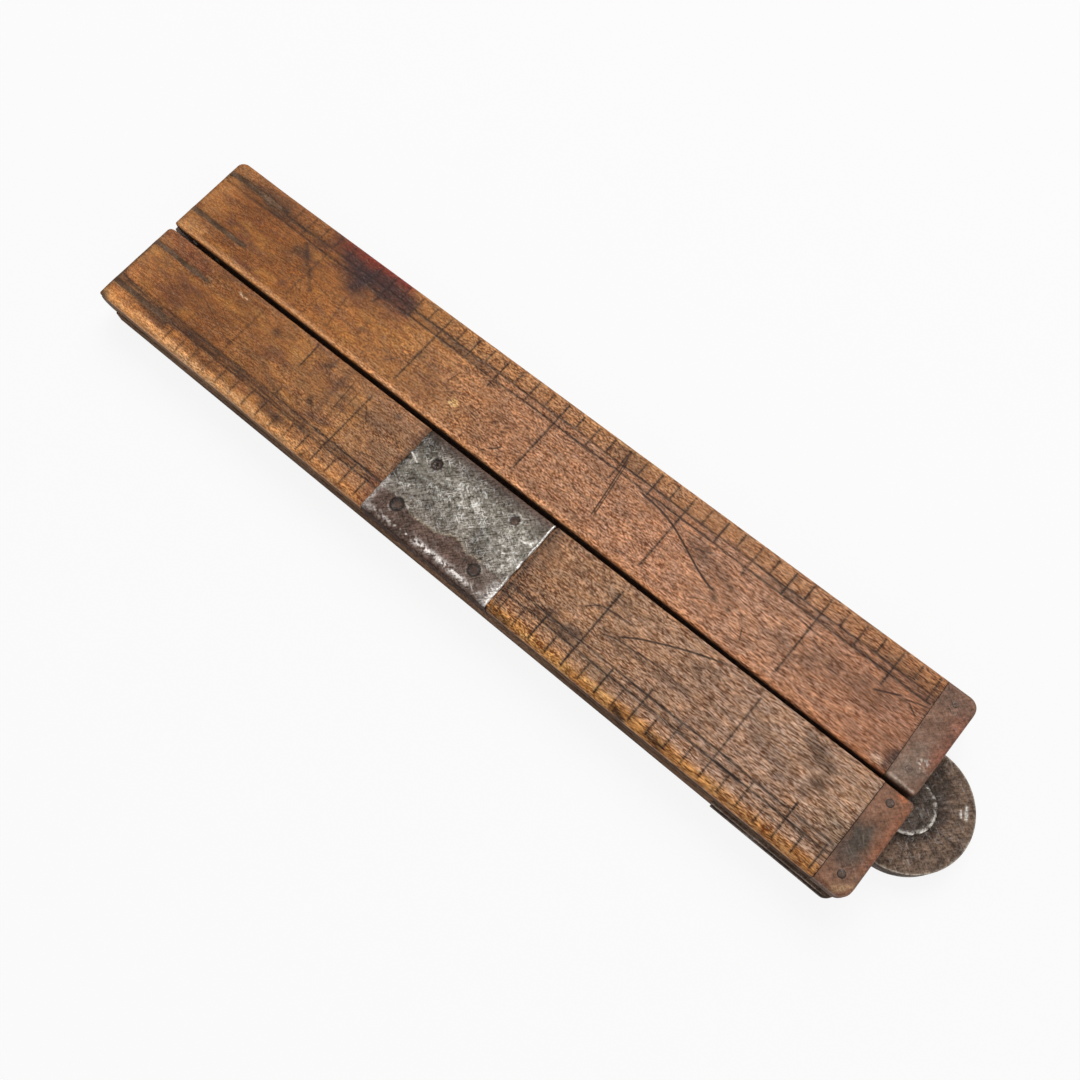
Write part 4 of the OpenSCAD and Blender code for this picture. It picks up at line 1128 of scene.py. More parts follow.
def metal_finish(name, seed, metallic, base=None, contrast=1.0, rough=(0.62, 0.34), pit=0.9,
                 relief=0.3, hairlines=0.5, shine=0.3):
    """Stored paint, or a plain tone if there is a base colour, under pitting and hairlines."""
    made, tree, shader = finish_of(name)
    patch = grain(tree, (SPOT,) * 3, seed, 3.0, 0.6)
    fine = grain(tree, (0.42,) * 3, seed + 1, 3.0, 0.72)
    bright, faint, hair = hairlines_of(tree, seed)
    mixed = patch * 0.16 + fine * 0.44 + 0.06 + hair
    share = steps(mixed, 0.5 - 0.13 / contrast, 0.5 + 0.13 / contrast)
    if base is None:
        tint, bare = stored(tree, "tint")
        plug(shader, "Metallic", steps(bare, 0.05, 0.6, 0.0, metallic))
    else:
        bare = steps(grain(tree, (SPOT * 2, SPOT, SPOT), seed + 5, 3.0), 0.35, 0.66)
        tint = blend(bare, rgba(base, 0.6), rgba(base, 1.3))
        shader.inputs["Metallic"].default_value = metallic
    pits = steps(grain(tree, (pit,) * 3, seed + 6, 3.0, 0.6), 0.60, 0.70)
    colour = blend(1.0, tint, blend(share, DULL, KEEN), "MULTIPLY")
    colour = blend(pits * 0.5, colour, PIT_DIRT)
    colour = blend(faint * (0.45 * hairlines), colour, FAINT_LINE)
    lit = reckon("MULTIPLY", bright * bare, hairlines, clamp=True)
    plug(shader, "Base Color", blend(lit, colour, blend(0.7, colour, FRESH)))
    plug(shader, "Roughness", steps((share + bare) * 0.5, 0.1, 0.9, *rough))
    shader.inputs["Specular IOR Level"].default_value = shine
    bumps = {"Height": mixed - pits * 0.2, "Strength": relief, "Distance": 0.08 * MM}
    plug(shader, "Normal", wire(tree, "Bump", bumps))
    return made


tip_metal = metal_finish("tip_brass", 33, 0.35, contrast=0.75, rough=(0.75, 0.36), pit=0.7,
                         relief=0.12, hairlines=0.2)
print("nodes in one metal:", len(tip_metal.node_tree.nodes))

# %% [markdown]
# ## The splice sleeve
# A strip of sheet steel was bent round the break by hand, so its section is a C: over the top, down
# both sides and a little way under. Its section is walked out along the outside and back along the
# inside. Hammer dents, the bowls round the nails and a line of rust give its top its form.

# %% Sleeve's section
BEND_R, TURNED_IN = 0.6, 4.5
TOP_GAP, SIDE_GAP, LIP_GAP, INSIDE_GAP = 0.17, 0.35, 0.5, 1.0


def arc(centre, r, start, end, n=7):
    """Points on an arc, angles in degrees."""
    a = np.radians(np.linspace(start, end, n))
    return np.stack([centre[0] + r * np.cos(a), centre[1] + r * np.sin(a)], -1)


def straight(a, b, gap):
    """Points from a up to b, b left out."""
    n = max(int(math.dist(a, b) / gap), 1)
    t = np.linspace(0, 1, n, endpoint=False)[:, None]
    return np.asarray(a) * (1 - t) + np.asarray(b) * t


def sleeve_section():
    """The C as a closed loop of (y, h): outside from lip to lip, then back along the inside."""
    r, top, w, low = BEND_R, -PROUD, WIDTH, THICK
    outside = [
        straight((TURNED_IN, low), (r, low), LIP_GAP), arc((r, low - r), r, 90, 180),
        straight((0, low - r - 0.2), (0, top + r + 0.2), SIDE_GAP), arc((r, top + r), r, 180, 270),
        straight((r + 0.1, top), (w - r - 0.05, top), TOP_GAP), arc((w - r, top + r), r, 270, 360),
        straight((w, top + r + 0.2), (w, low - r - 0.1), SIDE_GAP), arc((w - r, low - r), r, 0, 90),
        straight((w - r - 0.3, low), (w - TURNED_IN, low), LIP_GAP), [(w - TURNED_IN, low)]]
    turns = [(w - TURNED_IN, low - SHEET), (w - SHEET, low - SHEET), (w - SHEET, SHEET - PROUD),
             (SHEET, SHEET - PROUD), (SHEET, low - SHEET), (TURNED_IN, low - SHEET)]
    inside = [straight(a, b, INSIDE_GAP) for a, b in zip(turns[:-1], turns[1:])] + [turns[-1:]]
    loop = np.concatenate([np.asarray(part, float) for part in outside + inside])
    return loop, np.arange(len(loop)) < sum(len(part) for part in outside)


loop, is_outside = sleeve_section()
print("places round the sleeve:", len(loop))

# %% [markdown]
# ### Its dents
# Each nail pulled the sheet down in a bowl with a raised rim, and the sheet tore and folded beside
# two of them. The dents are added up as one depth for the whole top, and the rust line is a step.

# %% Sleeve's dents
NAILS = [(66.60, 4.10, 0.95), (66.30, 13.00, 1.15), (82.30, 3.40, 0.85), (82.80, 13.50, 1.02)]
RUST_LINE = [(61, 12.3), (64, 12.1), (66.5, 12.0), (68.6, 12.8), (69.9, 13.0), (72, 12.7), (74.2, 12.8),
             (75.3, 12.1), (77, 11.25), (78.5, 11.6), (80, 12.2), (81.9, 11.9), (84.3, 12.0), (89, 12.0)]
FOLD = [(61.5, 4.9), (62.4, 5.1), (63.8, 5.7), (65.0, 4.75), (66.2, 4.1)]
TEAR = [(84.3, 5.1), (85.4, 5.3), (86.5, 5.2), (87.4, 4.2)]


def sleeve_relief(x, y):
    """How far the top lies below its plain level, in mm: noise, a step at the rust line, a bowl with
    a raised rim round each nail, and the fold and the tear as ridges that fade with distance."""
    low = 0.035 * cloud(x, y, 7.0, 5.0, 71) + 0.018 * cloud(x, y, 1.8, 1.4, 72) + 0.02
    low = low + 0.035 * smooth(-0.2, 0.25, y - stops_at(x, RUST_LINE))
    low = low + 0.08 * bump(x, y, (70.4, 10.4), (0.55, 0.8))
    for nx, ny, r in NAILS:
        d = np.hypot(x - nx, y - ny)
        low = low + 0.20 * (1 - smooth(0.75 * r, 1.1 * r, d)) - 0.05 * ridge(d - 1.22 * r, 0.16)
    fold, _ = signed_distance(x, y, FOLD)
    low = low - 0.06 * smooth(-0.25, 0.1, fold) * (x < 67) * (y < 8) * np.exp(-np.abs(fold) / 1.6)
    tear, along = signed_distance(x, y, TEAR)
    low = low - 0.07 * np.exp(-np.abs(tear) / 0.22) * smooth(0.0, 0.5, along)
    return low + 0.04 * bump(x, y, (85.5, 4.2), (1.2, 0.6))


print("the bowl of the first nail is", round(float(sleeve_relief(*np.array(NAILS[0][:2]))), 2), "mm deep")

# %% [markdown]
# ### Its paint
# Rust, oil and bare steel lie in clear regions, so the paint is laid region by region: dark and oily
# near the fold, bare in the middle with painted sheen on it, rusty past the line, and worn white
# wherever it was knocked. Painted highlights lie along the fold, the tear, the cut end and the rims
# round the nails, and painted shade lies in the bowls round the nails.

# %% Sleeve's paint
STEEL_ACROSS = [(0, (92, 72, 62)), (0.8, (84, 72, 65)), (2.2, (105, 97, 88)), (3.6, (113, 107, 97)),
                (6, (118, 112, 102)), (9, (117, 111, 102)), (12, (123, 114, 104)), (16.9, (108, 95, 86))]
OIL, OLD_OIL, GREY_SPOT, RUST = (50, 42, 36), (58, 51, 45), (66, 60, 53), (95, 75, 66)
WHITE_STEEL = (226, 218, 212)
PAINTED_SHEEN_SPOTS = [((72.7, 6.8), (3.2, 1.6)), ((76.5, 5.2), (2.6, 1.2)), ((84.8, 7.6), (1.8, 1.8)),
          ((85.4, 10.0), (1.6, 1.6)), ((73.5, 9.6), (2.4, 1.2)), ((65.0, 9.6), (1.6, 1.0))]
GREY_SPOTS = [((70.4, 10.5), (0.6, 0.95), 0.85), ((79.5, 8.2), (1.3, 0.9), 0.5),
              ((80.2, 9.8), (2.0, 1.0), 0.45), ((66, 7.5), (1.6, 0.8), 0.5), ((75.8, 7.0), (1.0, 0.7), 0.4),
              ((81.5, 10.8), (1.4, 0.9), 0.6), ((64.5, 3.2), (1.6, 1.0), 0.45)]
FOLD_HIGHLIGHT_LINE = [(62.2, 5.0), (63.9, 5.75), (64.9, 4.8), (66.2, 4.1)]
TEAR_HIGHLIGHT_LINE = [(84.4, 5.1), (85.4, 5.35), (86.4, 5.15), (87.3, 3.9)]


def steel_regions(x, y, rust, big, mid, fine):
    """Colour and bareness of the top: a tone across, oil, painted sheen on bare spots, grey spots, then rust
    past the line.
    """
    c = tones(y, STEEL_ACROSS)
    c = c * (1 + 0.28 * smooth(78.5, 83.5, x) * (1 - smooth(9.5, 12, y)))[..., None]
    c = c * (1.14 + 0.26 * big + 0.08 * mid + 0.10 * fine)[..., None]
    c = over(c, OIL, 0.75 * (1 - smooth(62.3, 63.0, x - 0.3 * mid)) * (1 - smooth(9.6, 10.8, y)))
    c = over(c, OLD_OIL, 0.6 * bump(x, y, (63.6, 1.8), (2.2, 2.4)))
    bare = (0.45 + 0.3 * big + 0.25 * mid) * smooth(0.3, 2.4, y)
    # painted reflection: a pale patch of sheen on the steel
    painted_sheen = 0.85 * bump(x, y, (85.3, 8.8), (2.2, 3.0)) * smooth(-0.4, 0.4, mid + 1.3 * fine)
    c = over(c, (196, 190, 180), painted_sheen)
    # painted sheen: pale spots of reflection, which are also made barer and more metallic
    shine = np.clip(sum(bump(x, y, at, size) for at, size in PAINTED_SHEEN_SPOTS), 0, 1)
    shine = shine * smooth(-0.3, 0.6, 0.5 * mid + 1.2 * fine)
    c, bare = over(c, (190, 184, 175), 0.38 * shine), bare + 0.6 * shine
    for at, size, amount in GREY_SPOTS:
        c = over(c, GREY_SPOT, amount * bump(x, y, at, size))
    past = smooth(-0.12, 0.16, y - rust)
    c = over(c, toned(RUST, 1 + 0.35 * mid + 0.4 * fine), past * (0.95 - 0.35 * smooth(81, 84, x)))
    return c, bare * (1 - 0.8 * past)


def steel_knocks(c, bare, x, y, rust, big, mid, fine):
    """Worn white: the line's own edge, the outer fold and both ends. Round the nails, painted shade with dark
    rust in the bowls, and a painted highlight on their rims.
    """
    middle = 1 - smooth(82, 84, x)
    c = over(c, (176, 160, 136), 0.6 * ridge(y - rust + 0.1, 0.14) * smooth(67.5, 70, x) * middle)
    worn = ridge(y - 15.75 - 0.3 * big, 0.5) * smooth(-0.25, 0.25, mid + 1.4 * fine)
    worn = worn * (0.55 + 0.45 * smooth(66, 70, x) * (1 - smooth(81, 84, x)))
    worn = np.maximum(worn, (1 - smooth(62.2, 63.2, x + 0.4 * mid)) * (y > 10.5) * 0.45)
    worn = np.maximum(worn, smooth(85.8, 87.2, x + 0.6 * mid) * (y > 12.5) * 0.7)
    c, bare = over(c, WHITE_STEEL, 0.8 * worn), np.maximum(bare, 0.8 * worn)
    for nx, ny, r in NAILS:
        d = np.hypot(x - nx, y - ny)
        # painted shade with dark rust in the bowl round each nail head, and a painted highlight on its raised
        # rim
        c = over(c, (32, 25, 21), 0.95 * (1 - smooth(0.92 * r, 1.2 * r, d)))
        c = over(c, (196, 188, 178), 0.6 * ridge(d - 1.25 * r, 0.12) * smooth(0.0, 0.6, mid + fine))
    return c, bare


print("shines on the sleeve:", len(PAINTED_SHEEN_SPOTS), "and grey spots:", len(GREY_SPOTS))

# %% Sleeve's coats
def paint_sleeve(x, y, h, outside):
    """The regions and the knocks of the top, painted highlights along the fold and the tear and on the bare
    cut end, the dull sides.
    """
    big, mid, fine = clouds(x, y, (6.0, 1.8, 0.6), 74, 0.8)
    rust = stops_at(x, RUST_LINE) + 0.12 * cloud(x, y, 0.8, 0.8, 73)
    c, bare = steel_regions(x, y, rust, big, mid, fine)
    c, bare = steel_knocks(c, bare, x, y, rust, big, mid, fine)
    # painted highlights: bright lines along the fold, where its edge catches the light
    fold, along = signed_distance(x, y, FOLD_HIGHLIGHT_LINE)
    c = over(c, (232, 226, 216), 0.9 * ridge(fold, 0.17) * (1 - smooth(0.30, 0.45, along)))
    c = over(c, (160, 152, 140), 0.5 * ridge(fold, 0.13) * smooth(0.35, 0.6, along))
    # painted highlights: a bright line along the tear and a spot at its end
    tear, along = signed_distance(x, y, TEAR_HIGHLIGHT_LINE)
    c = over(c, (240, 236, 228), 0.9 * ridge(tear, 0.16) * smooth(0.0, 0.5, along))
    c = over(c, (236, 230, 222), 0.9 * bump(x, y, (86.9, 4.95), (0.45, 0.28)))
    # painted highlight on the cut end, where the bare edge of the sheet catches the light
    cut = smooth(87.66, 87.76, x) * ((y < 5.5) | (y > 11) | (mid > 0.0)) * (h < 0.3)
    c, bare = over(c, (232, 228, 222), 0.9 * cut), np.maximum(bare, cut)
    side = smooth(0.0, 0.35, h)
    dull = over(linear(74, 52, 42), (92, 72, 62), 1.0 * (y < 1.0))
    c = over(c, dull * (1 + 0.35 * mid + 0.3 * fine)[..., None], 0.93 * side)
    return painted(over(c, (58, 46, 38), 0.8 * (1 - outside)), bare * (1 - side))


middle_of_top = paint_sleeve(*np.array([[75.0], [6.0], [0.0], [1.0]]))
print("the middle of the sleeve's top is", round(float(middle_of_top[0, 3]), 2), "bare")

# %% Splice sleeve
END_EDGE = EDGE_ROWS * 0.3
xs = np.unique(np.concatenate([SLEEVE_X0 + END_EDGE, np.arange(SLEEVE_X0 + 0.3, SLEEVE_X1 - 0.3, TOP_GAP),
                               SLEEVE_X1 - END_EDGE]))
x, y, h, outside = np.broadcast_arrays(xs[:, None], loop[None, :, 0], loop[None, :, 1], is_outside[None])
tint = paint_sleeve(x, y, h, outside)
upper = 1 - smooth(0.0, 0.6, h)
h = h + sleeve_relief(x, y) * upper * outside
h = h + (rounding(x - SLEEVE_X0, 0.15) + rounding(SLEEVE_X1 - x, 0.12)) * upper * outside
ragged = 0.10 * cloud(0 * x, y + 3 * h, 1.0, 2.2, 79) + 0.12 * (cloud(0 * x, y + 3 * h, 1.0, 0.7, 80) - 0.3)
start, end = 1 - smooth(SLEEVE_X0, SLEEVE_X0 + 1.2, x), smooth(SLEEVE_X1 - 1.2, SLEEVE_X1, x)
x = x + ragged * start - (0.18 - ragged - 0.02 * h) * end
sleeve_metal = metal_finish("sleeve_sheet", 21, 0.55, contrast=1.2, rough=(0.95, 0.34), pit=0.6,
                            hairlines=1.5, shine=0.14)
sleeve = mesh_piece("bent_steel_sleeve", tube(to_row(x, y, h, NEAR), {"tint": tint}), sleeve_metal)
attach(sleeve, "near_upper")
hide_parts("splice_sleeve")

# %% [markdown]
# ## Nails
# A nail head, a rivet head and the hub of the joint are all turned shapes: a profile of radius and
# depth carried round an axis. Each could be a cylinder with a bevel, but a profile gives every head
# its own dome, and noise on its height pits the rusty ones.

# %% Nails
def turned(profile, centre, n, side, rough, seed, colour, top=TOP):
    """A profile of (radius, h) carried round an axis through a leg's point (x, y)."""
    profile = np.asarray(profile, float)
    a = np.linspace(0, 2 * np.pi, n, endpoint=False)
    r, h = profile[:, :1] + 0 * a, profile[:, 1:2] + 0 * a
    x, y = centre[0] + r * np.cos(a), centre[1] + r * np.sin(a)
    h = h + rough * cloud(x, y, 0.6, 0.6, seed) * (h < profile[0, 1] + 0.25)
    return tube(to_row(x, y, h, side, top), {"tint": colour(x, y, r, h)})


def rusty(x, y, r, h):
    """Nail heads: dark rust with redder patches and a black seam."""
    c = toned((68, 49, 39), 1 + 0.6 * cloud(x, y, 0.6, 0.6, 91))
    c = over(c, (104, 74, 54), 0.6 * smooth(0.1, 0.6, cloud(x, y, 0.9, 0.7, 92)))
    return painted(over(c, (26, 20, 17), 0.9 * smooth(0.55, 0.85, r)), 0.2 + 0 * x)


SHANK_R, SHANK_END, FACE_SHARE = 0.55, 2.9, 0.93
nail_shells = []
for k, (nx, ny, r) in enumerate(NAILS):
    face = [(r * FACE_SHARE * t, 0.03 + 0.05 * (1 - t ** 2)) for t in np.linspace(0.04, 1, 9)]
    shank = [(r * FACE_SHARE, 0.10), (SHANK_R, SHEET - PROUD + 0.02), (SHANK_R, SHANK_END), (0.1, 3.1)]
    nail_shells.append(turned(face + shank, (nx, ny), 40, NEAR, 0.05, 60 + k, rusty))
nail_metal = metal_finish("nail_iron", 25, 0.3, pit=0.4, relief=0.5)
nails = mesh_piece("rusty_nail_heads", joined(nail_shells), nail_metal)
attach(nails, "near_upper")
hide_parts("splice_nails")

# %% [markdown]
# ## The metal tips
# Each upper leg ends in a cap of brass-coloured metal over a tongue of its wood, riveted through. It
# has gone brown like the wood, so only the hairline joint and the rivets tell them apart. It is the
# same bar as the leg with more rounding at its corners, and its own paint.

# %% Tip builder
TIP_CORNERS = (0.0, 0.0, 0.7, 1.9, 0.04, 0.55)
TIP_COLUMN_GAP, TIP_ROW_GAP = 0.16, 0.17


def paint_tip(x, y, down, look, side):
    """One brown with clouds, stains, the dark joint, marks, and sides painted dark as shade."""
    seed, top = look["seed"], 1 - smooth(0.02, 0.2, down)
    big, mid, fine = clouds(x, y, (4.0, 1.4, 0.5), seed)
    c = toned(look["base"], 1 + 0.18 * big + 0.15 * mid + 0.12 * fine)
    c = blots(c, x, y, seed + 10, look["stains"])
    c = over(c, (44, 34, 28), 0.6 * np.exp(-(x - look["start"]) / 0.10))
    if side == FAR:
        specks = smooth(0.12, 0.4, cloud(x, y, 0.45, 0.3, seed + 30)) * bump(x, y, (150.6, 4.6), (0.8, 0.9))
        c = over(c, (216, 206, 194), 0.95 * specks)
    for a, b, amount in look["marks"]:
        off, _ = signed_distance(x, y, [a, b])
        c = over(c, (66, 50, 42), amount * ridge(off, 0.1) * (down < 0.01))
    # painted shade: the sides are darkened for the shade they lie in
    c = over(c, (74, 56, 45), 0.8 * smooth(0.02, 0.2, down) * (1 - smooth(0.98, 1, down)))
    return painted(c, (0.35 + 0.3 * big + 0.2 * mid) * top)


def tip_piece(name, side, look, body, node):
    """A cap: the bar from the joint line to the leg's end, its joint shaped like the wood's end."""
    start, end, (shift, slant) = look["start"], look["start"] + TIP, look["slope"]
    places = spread(start + 0.2, end - EDGE_ROWS[-1], TIP_COLUMN_GAP)
    xs = np.unique(np.concatenate([start + 0.02 + EDGE_ROWS * 0.15, places, end - EDGE_ROWS]))
    across, down = section(TIP_ROW_GAP, under_gap=0.6)
    x, y, down = np.broadcast_arrays(xs[:, None], across[None], down[None])
    worn = 0.015 * cloud(x, y, 4.0, 4.0, look["seed"]) + 0.015 + look["dent"] * bump(x, y, *look["dent_at"])
    rows, h = bar(x, y, down, (start, end), TIP_CORNERS, look["edge_r"], worn, THICK + 0 * x)
    tint = paint_tip(x, y, down, look, side)
    x = x + (shift + slant * y) * (1 - smooth(start, start + 3, x))
    piece = mesh_piece(name, tube(to_row(x, rows, h, side), {"tint": tint}), tip_metal)
    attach(piece, body)
    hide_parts(node)


print("a tip's columns stand", TIP_COLUMN_GAP, "mm apart")

# %% Tips
tip_piece("worn_far_tip", FAR, {
    "seed": 101, "start": LEG - TIP, "edge_r": (0.45, 0.6), "slope": (0.32, -0.028), "base": (119, 87, 69),
    "dent": 0.05, "dent_at": ((150.5, 4.6), (0.6, 0.6)),
    "stains": [
        ((149.4, 2.6), (150.2, 2.7), 1.5, 0.75, (92, 78, 70)),
        ((148.2, 1.0), (149.5, 6.0), 1.8, 0.55, (136, 116, 101)),
        ((151.9, 6.0), (151.9, 13.5), 1.2, 0.6, (150, 92, 72)),
        ((148.5, 14.5), (150.5, 14.5), 1.6, 0.5, (108, 86, 74)),
        ((151.5, 10.5), (151.8, 10.5), 0.5, 0.6, (72, 56, 48)),
        ((147.6, 0.5), (151.8, 0.4), 0.22, 0.6, (206, 186, 168)),
        ((148, 9), (150, 9), 2.0, 0.3, (112, 84, 68))],
    "marks": [((147.2, 13.4), (149.9, 13.2), 0.5), ((147.2, 12.0), (149.0, 12.1), 0.4),
              ((147.3, 8.6), (151.8, 8.7), 0.35), ((151.3, 4.2), (149.8, 7.0), 0.3)]},
    "far_upper", "far_tip")
tip_piece("worn_near_tip", NEAR, {
    "seed": 111, "start": NEAR_LEG - TIP, "edge_r": (0.5, 0.8), "slope": (0.26, -0.01), "base": (130, 91, 69),
    "dent": 0.04, "dent_at": ((149.6, 9.0), (1.6, 2.0)),
    "stains": [
        ((149.0, 8.0), (150.0, 11.2), 1.9, 0.97, (70, 62, 54)),
        ((150.2, 6.8), (150.6, 8.9), 0.9, 0.8, (66, 60, 52)),
        ((152.6, 1.5), (152.7, 12.5), 0.6, 0.5, (156, 96, 66)),
        ((150.8, 0.4), (151.6, 0.5), 0.5, 0.6, (176, 98, 56)),
        ((149, 13), (152, 14), 1.8, 0.5, (112, 86, 72)),
        ((148.5, 11.8), (149.5, 12.8), 1.0, 0.5, (84, 68, 58)),
        ((152.4, 15.2), (151.0, 16.4), 0.5, 0.6, (196, 158, 118)),
        ((148.4, 2.0), (149.0, 5.0), 1.4, 0.4, (146, 106, 84)),
        ((149.8, 7.9), (150.9, 9.3), 0.07, 0.4, (132, 124, 110)),
        ((150.2, 9.4), (151.2, 8.5), 0.06, 0.4, (132, 124, 110))],
    "marks": [((148.2, 12.9), (149.4, 13.0), 0.5), ((149.6, 8.2), (151.6, 9.9), 0.35),
              ((148.3, 11.2), (149.5, 12.0), 0.4)]},
    "near_upper", "near_tip")

# %% [markdown]
# ## Rivets through the tips
# Two rivets hold each cap. Their heads are filed nearly flush and dirt fills the seam round them, so
# the dark ring is what shows. The near tip's heads have spread a little more than the far tip's.

# %% Rivets through the tips
def rivet_colour(x, y, r, h):
    """Brown brass with a dark ring where dirt fills the seam."""
    c = toned((86, 68, 58), 1 + 0.3 * cloud(x, y, 0.5, 0.5, 95))
    c = over(c, (132, 108, 92), 0.6 * ridge(r - 0.34, 0.07))
    return painted(over(c, (34, 26, 23), 0.9 * smooth(0.42, 0.56, r)), 0.3 + 0 * x)


RIVET_R, NEAR_SPREAD, HEAD_DEPTH = 0.56, 1.28, 0.1
RIVET = [(0.02, -0.045), (0.2, -0.04), (0.36, -0.02), (0.46, 0.0), (0.53, 0.03), (RIVET_R, 0.07),
         (RIVET_R, 1.0), (RIVET_R, 3.0), (RIVET_R, 3.96), (0.5, 4.0), (0.3, 4.01), (0.02, 4.01)]
SPREAD_RIVET = [(radius * (NEAR_SPREAD if deep < HEAD_DEPTH else 1.0), deep) for radius, deep in RIVET]
rivet_metal = metal_finish("tip_rivet", 37, 0.4, contrast=0.8, pit=0.5)
for name, side, head, body, node, spots in (
        ("domed_far_rivets", FAR, RIVET, "far_upper", "far_tip_rivets", [(149.55, 2.70), (149.45, 14.50)]),
        ("domed_near_rivets", NEAR, SPREAD_RIVET, "near_upper", "near_tip_rivets",
         [(150.25, 2.10), (150.65, 14.10)])):
    shells = [turned(head, at, 32, side, 0.01, 97, rivet_colour) for at in spots]
    rivets = mesh_piece(name, joined(shells), rivet_metal)
    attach(rivets, body)
    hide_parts(node)

# %% [markdown]
# ## The round joint
# The top leaf of the joint is a disc with a tail let into the lower leg, and the pivot ends in a
# broad raised hub. The disc is a profile carried round the pivot, with a rim painted bright as a
# highlight on bare metal, and a shadow of the hub painted round the hub. The tail is a flat grid that
# runs just under the disc's edge.

# %% Leaf's paint
pivot = np.array([LEG + 0.5, -HALF_GAP])
LEAF_R, LEAF_TOP, LEAF_T, LEAF_RIM = 9.5, 3.9, 1.1, 9.42
LEAF_DIRT = (58, 46, 40)
LEAF_MARKS = [
    ((0.6, -6.6), (2.6, -5.2), 1.6, 0.6, (56, 46, 40)),
    ((4.2, 0.35), (9.3, 0.25), 0.075, 0.9, (40, 32, 28)),
    ((0.95, -7.1), (0.99, -7.1), 0.35, 0.8, (50, 42, 36)),
    ((2.15, 8.1), (2.2, 8.1), 0.5, 0.7, (62, 50, 42)),
    ((6.4, -5.2), (6.9, -4.2), 0.16, 0.95, (228, 222, 212)),
    ((6.8, -4.6), (7.3, -3.6), 0.14, 0.95, (230, 224, 214)),
    ((6.1, -4.2), (6.5, -3.4), 0.12, 0.9, (220, 212, 202)),
    ((4.6, -3.4), (5.2, -1.2), 0.3, 0.5, (56, 46, 40)),
    ((5.0, 1.6), (7.6, 3.4), 0.10, 0.5, LEAF_DIRT), ((4.9, 3.9), (6.2, 6.0), 0.10, 0.4, LEAF_DIRT)]


def leaf_paint(x, y):
    """Brown tarnish with streaks that run out from the hub, a painted shadow round the hub and a
    painted highlight on the rim.
    The marks are placed from the pivot, and each starts the ragged noise of its edge anew."""
    dx, dy = x - pivot[0], y - pivot[1]
    r, a = np.hypot(dx, dy), np.arctan2(dy, dx)
    big, mid, fine = clouds(x, y, (4.0, 1.2, 0.45), 121)
    rays = cloud(12 * a / np.pi, r, 0.16, 3.5, 125)
    c = toned((102, 82, 68), 1 + 0.3 * big + 0.36 * mid + 0.36 * fine + (0.8 - 0.3 * smooth(5, 9, r)) * rays)
    # painted shadow of the raised hub: a dark ring just outside it
    c = over(c, (52, 42, 36), 0.85 * ridge(r - 4.3, 1.2))
    c = over(c, (124, 102, 84), 0.4 * smooth(5.5, 8.5, r) * smooth(-0.2, 0.6, mid + rays))
    # painted highlight on the rim, which is also left bare
    bright = ridge(r - LEAF_RIM, 0.12) * smooth(-0.5, 0.3, big + mid + 0.3)
    c = over(c, (206, 190, 172), 0.65 * bright)
    for mark in LEAF_MARKS:
        c = blots(c, dx, dy, 130, [mark])
    return painted(c, np.maximum(0.3 + 0.3 * big + 0.2 * rays, bright))


print("marks on the leaf:", len(LEAF_MARKS))

# %% Top leaf
TAIL_START, TAIL_EDGE, TAIL_CORNER, TAIL_SINK = LEG - 21.0, 17.15, 1.6, 0.03
face = [(r, LEAF_TOP) for r in np.arange(0.4, 9.2, 0.2)]
rim = [(9.26, 3.895), (9.36, 3.875), (9.44, 3.83), (9.49, 3.76), (LEAF_R, 3.65), (LEAF_R, 3.2), (LEAF_R, 2.9),
       (9.45, 2.83), (9.35, 2.8), (6.0, 2.8), (2.0, 2.8), (0.4, 2.8)]


def leaf_disc(profile, n):
    """A profile of (radius, z) carried round the pivot, a little uneven on top and dark below."""
    profile = np.asarray(profile, float)
    a = np.linspace(0, 2 * np.pi, n, endpoint=False)
    r, z = profile[:, :1], profile[:, 1:2]
    x, y = pivot[0] + r * np.cos(a), pivot[1] + r * np.sin(a)
    z = z - 0.015 * (1 + cloud(x, y, 3.0, 3.0, 127)) * (z > LEAF_TOP - 0.2)
    tint, low = leaf_paint(x, y), smooth(0.08, 0.25, LEAF_TOP - z)
    tint[..., :3] = over(tint[..., :3], (58, 46, 38), 0.85 * low)
    tint[..., 3] *= 1 - low
    return tube(to_row(x, y, -z, NEAR, 0.0), {"tint": tint})


def leaf_tail():
    """A flat bar from the tail's start to just under the disc, its end following the disc's arc."""
    ys = np.unique(np.concatenate([EDGE_ROWS * 0.4, np.arange(0.4, 16.7, 0.3), TAIL_EDGE - EDGE_ROWS * 0.4]))
    arc_x = pivot[0] - np.sqrt(np.maximum(LEAF_R ** 2 - (ys - pivot[1]) ** 2, 0)) + 0.3
    ends = np.where(ys < 9.0, np.minimum(arc_x, LEG), LEG) - rounding(TAIL_EDGE - ys, TAIL_CORNER)
    side = np.array([0.25, 0.5, 0.75])
    round_y = np.concatenate([ys, np.full(3, TAIL_EDGE), ys[::-1], np.zeros(3)])
    round_d = np.concatenate([0 * ys, side, 1 + 0 * ys, side[::-1]])
    round_end = np.concatenate([ends, np.full(3, ends[-1]), ends[::-1], np.full(3, ends[0])])
    t = np.concatenate([[0, 0.001, 0.004], np.linspace(0.012, 0.988, 60), [0.996, 0.999, 1.0]])[:, None]
    x = TAIL_START + t * (round_end[None] - TAIL_START)
    y, d = np.broadcast_to(round_y, x.shape), np.broadcast_to(round_d, x.shape)
    edge = np.minimum(np.minimum(x - TAIL_START, round_end[None] - x), np.minimum(y, TAIL_EDGE - y))
    fall = rounding(edge, 0.08)
    z = LEAF_TOP - TAIL_SINK - fall - d * (LEAF_T - 0.04 - 2 * fall)
    return tube(to_row(x, y, -z, NEAR, 0.0), {"tint": leaf_paint(x, y)})


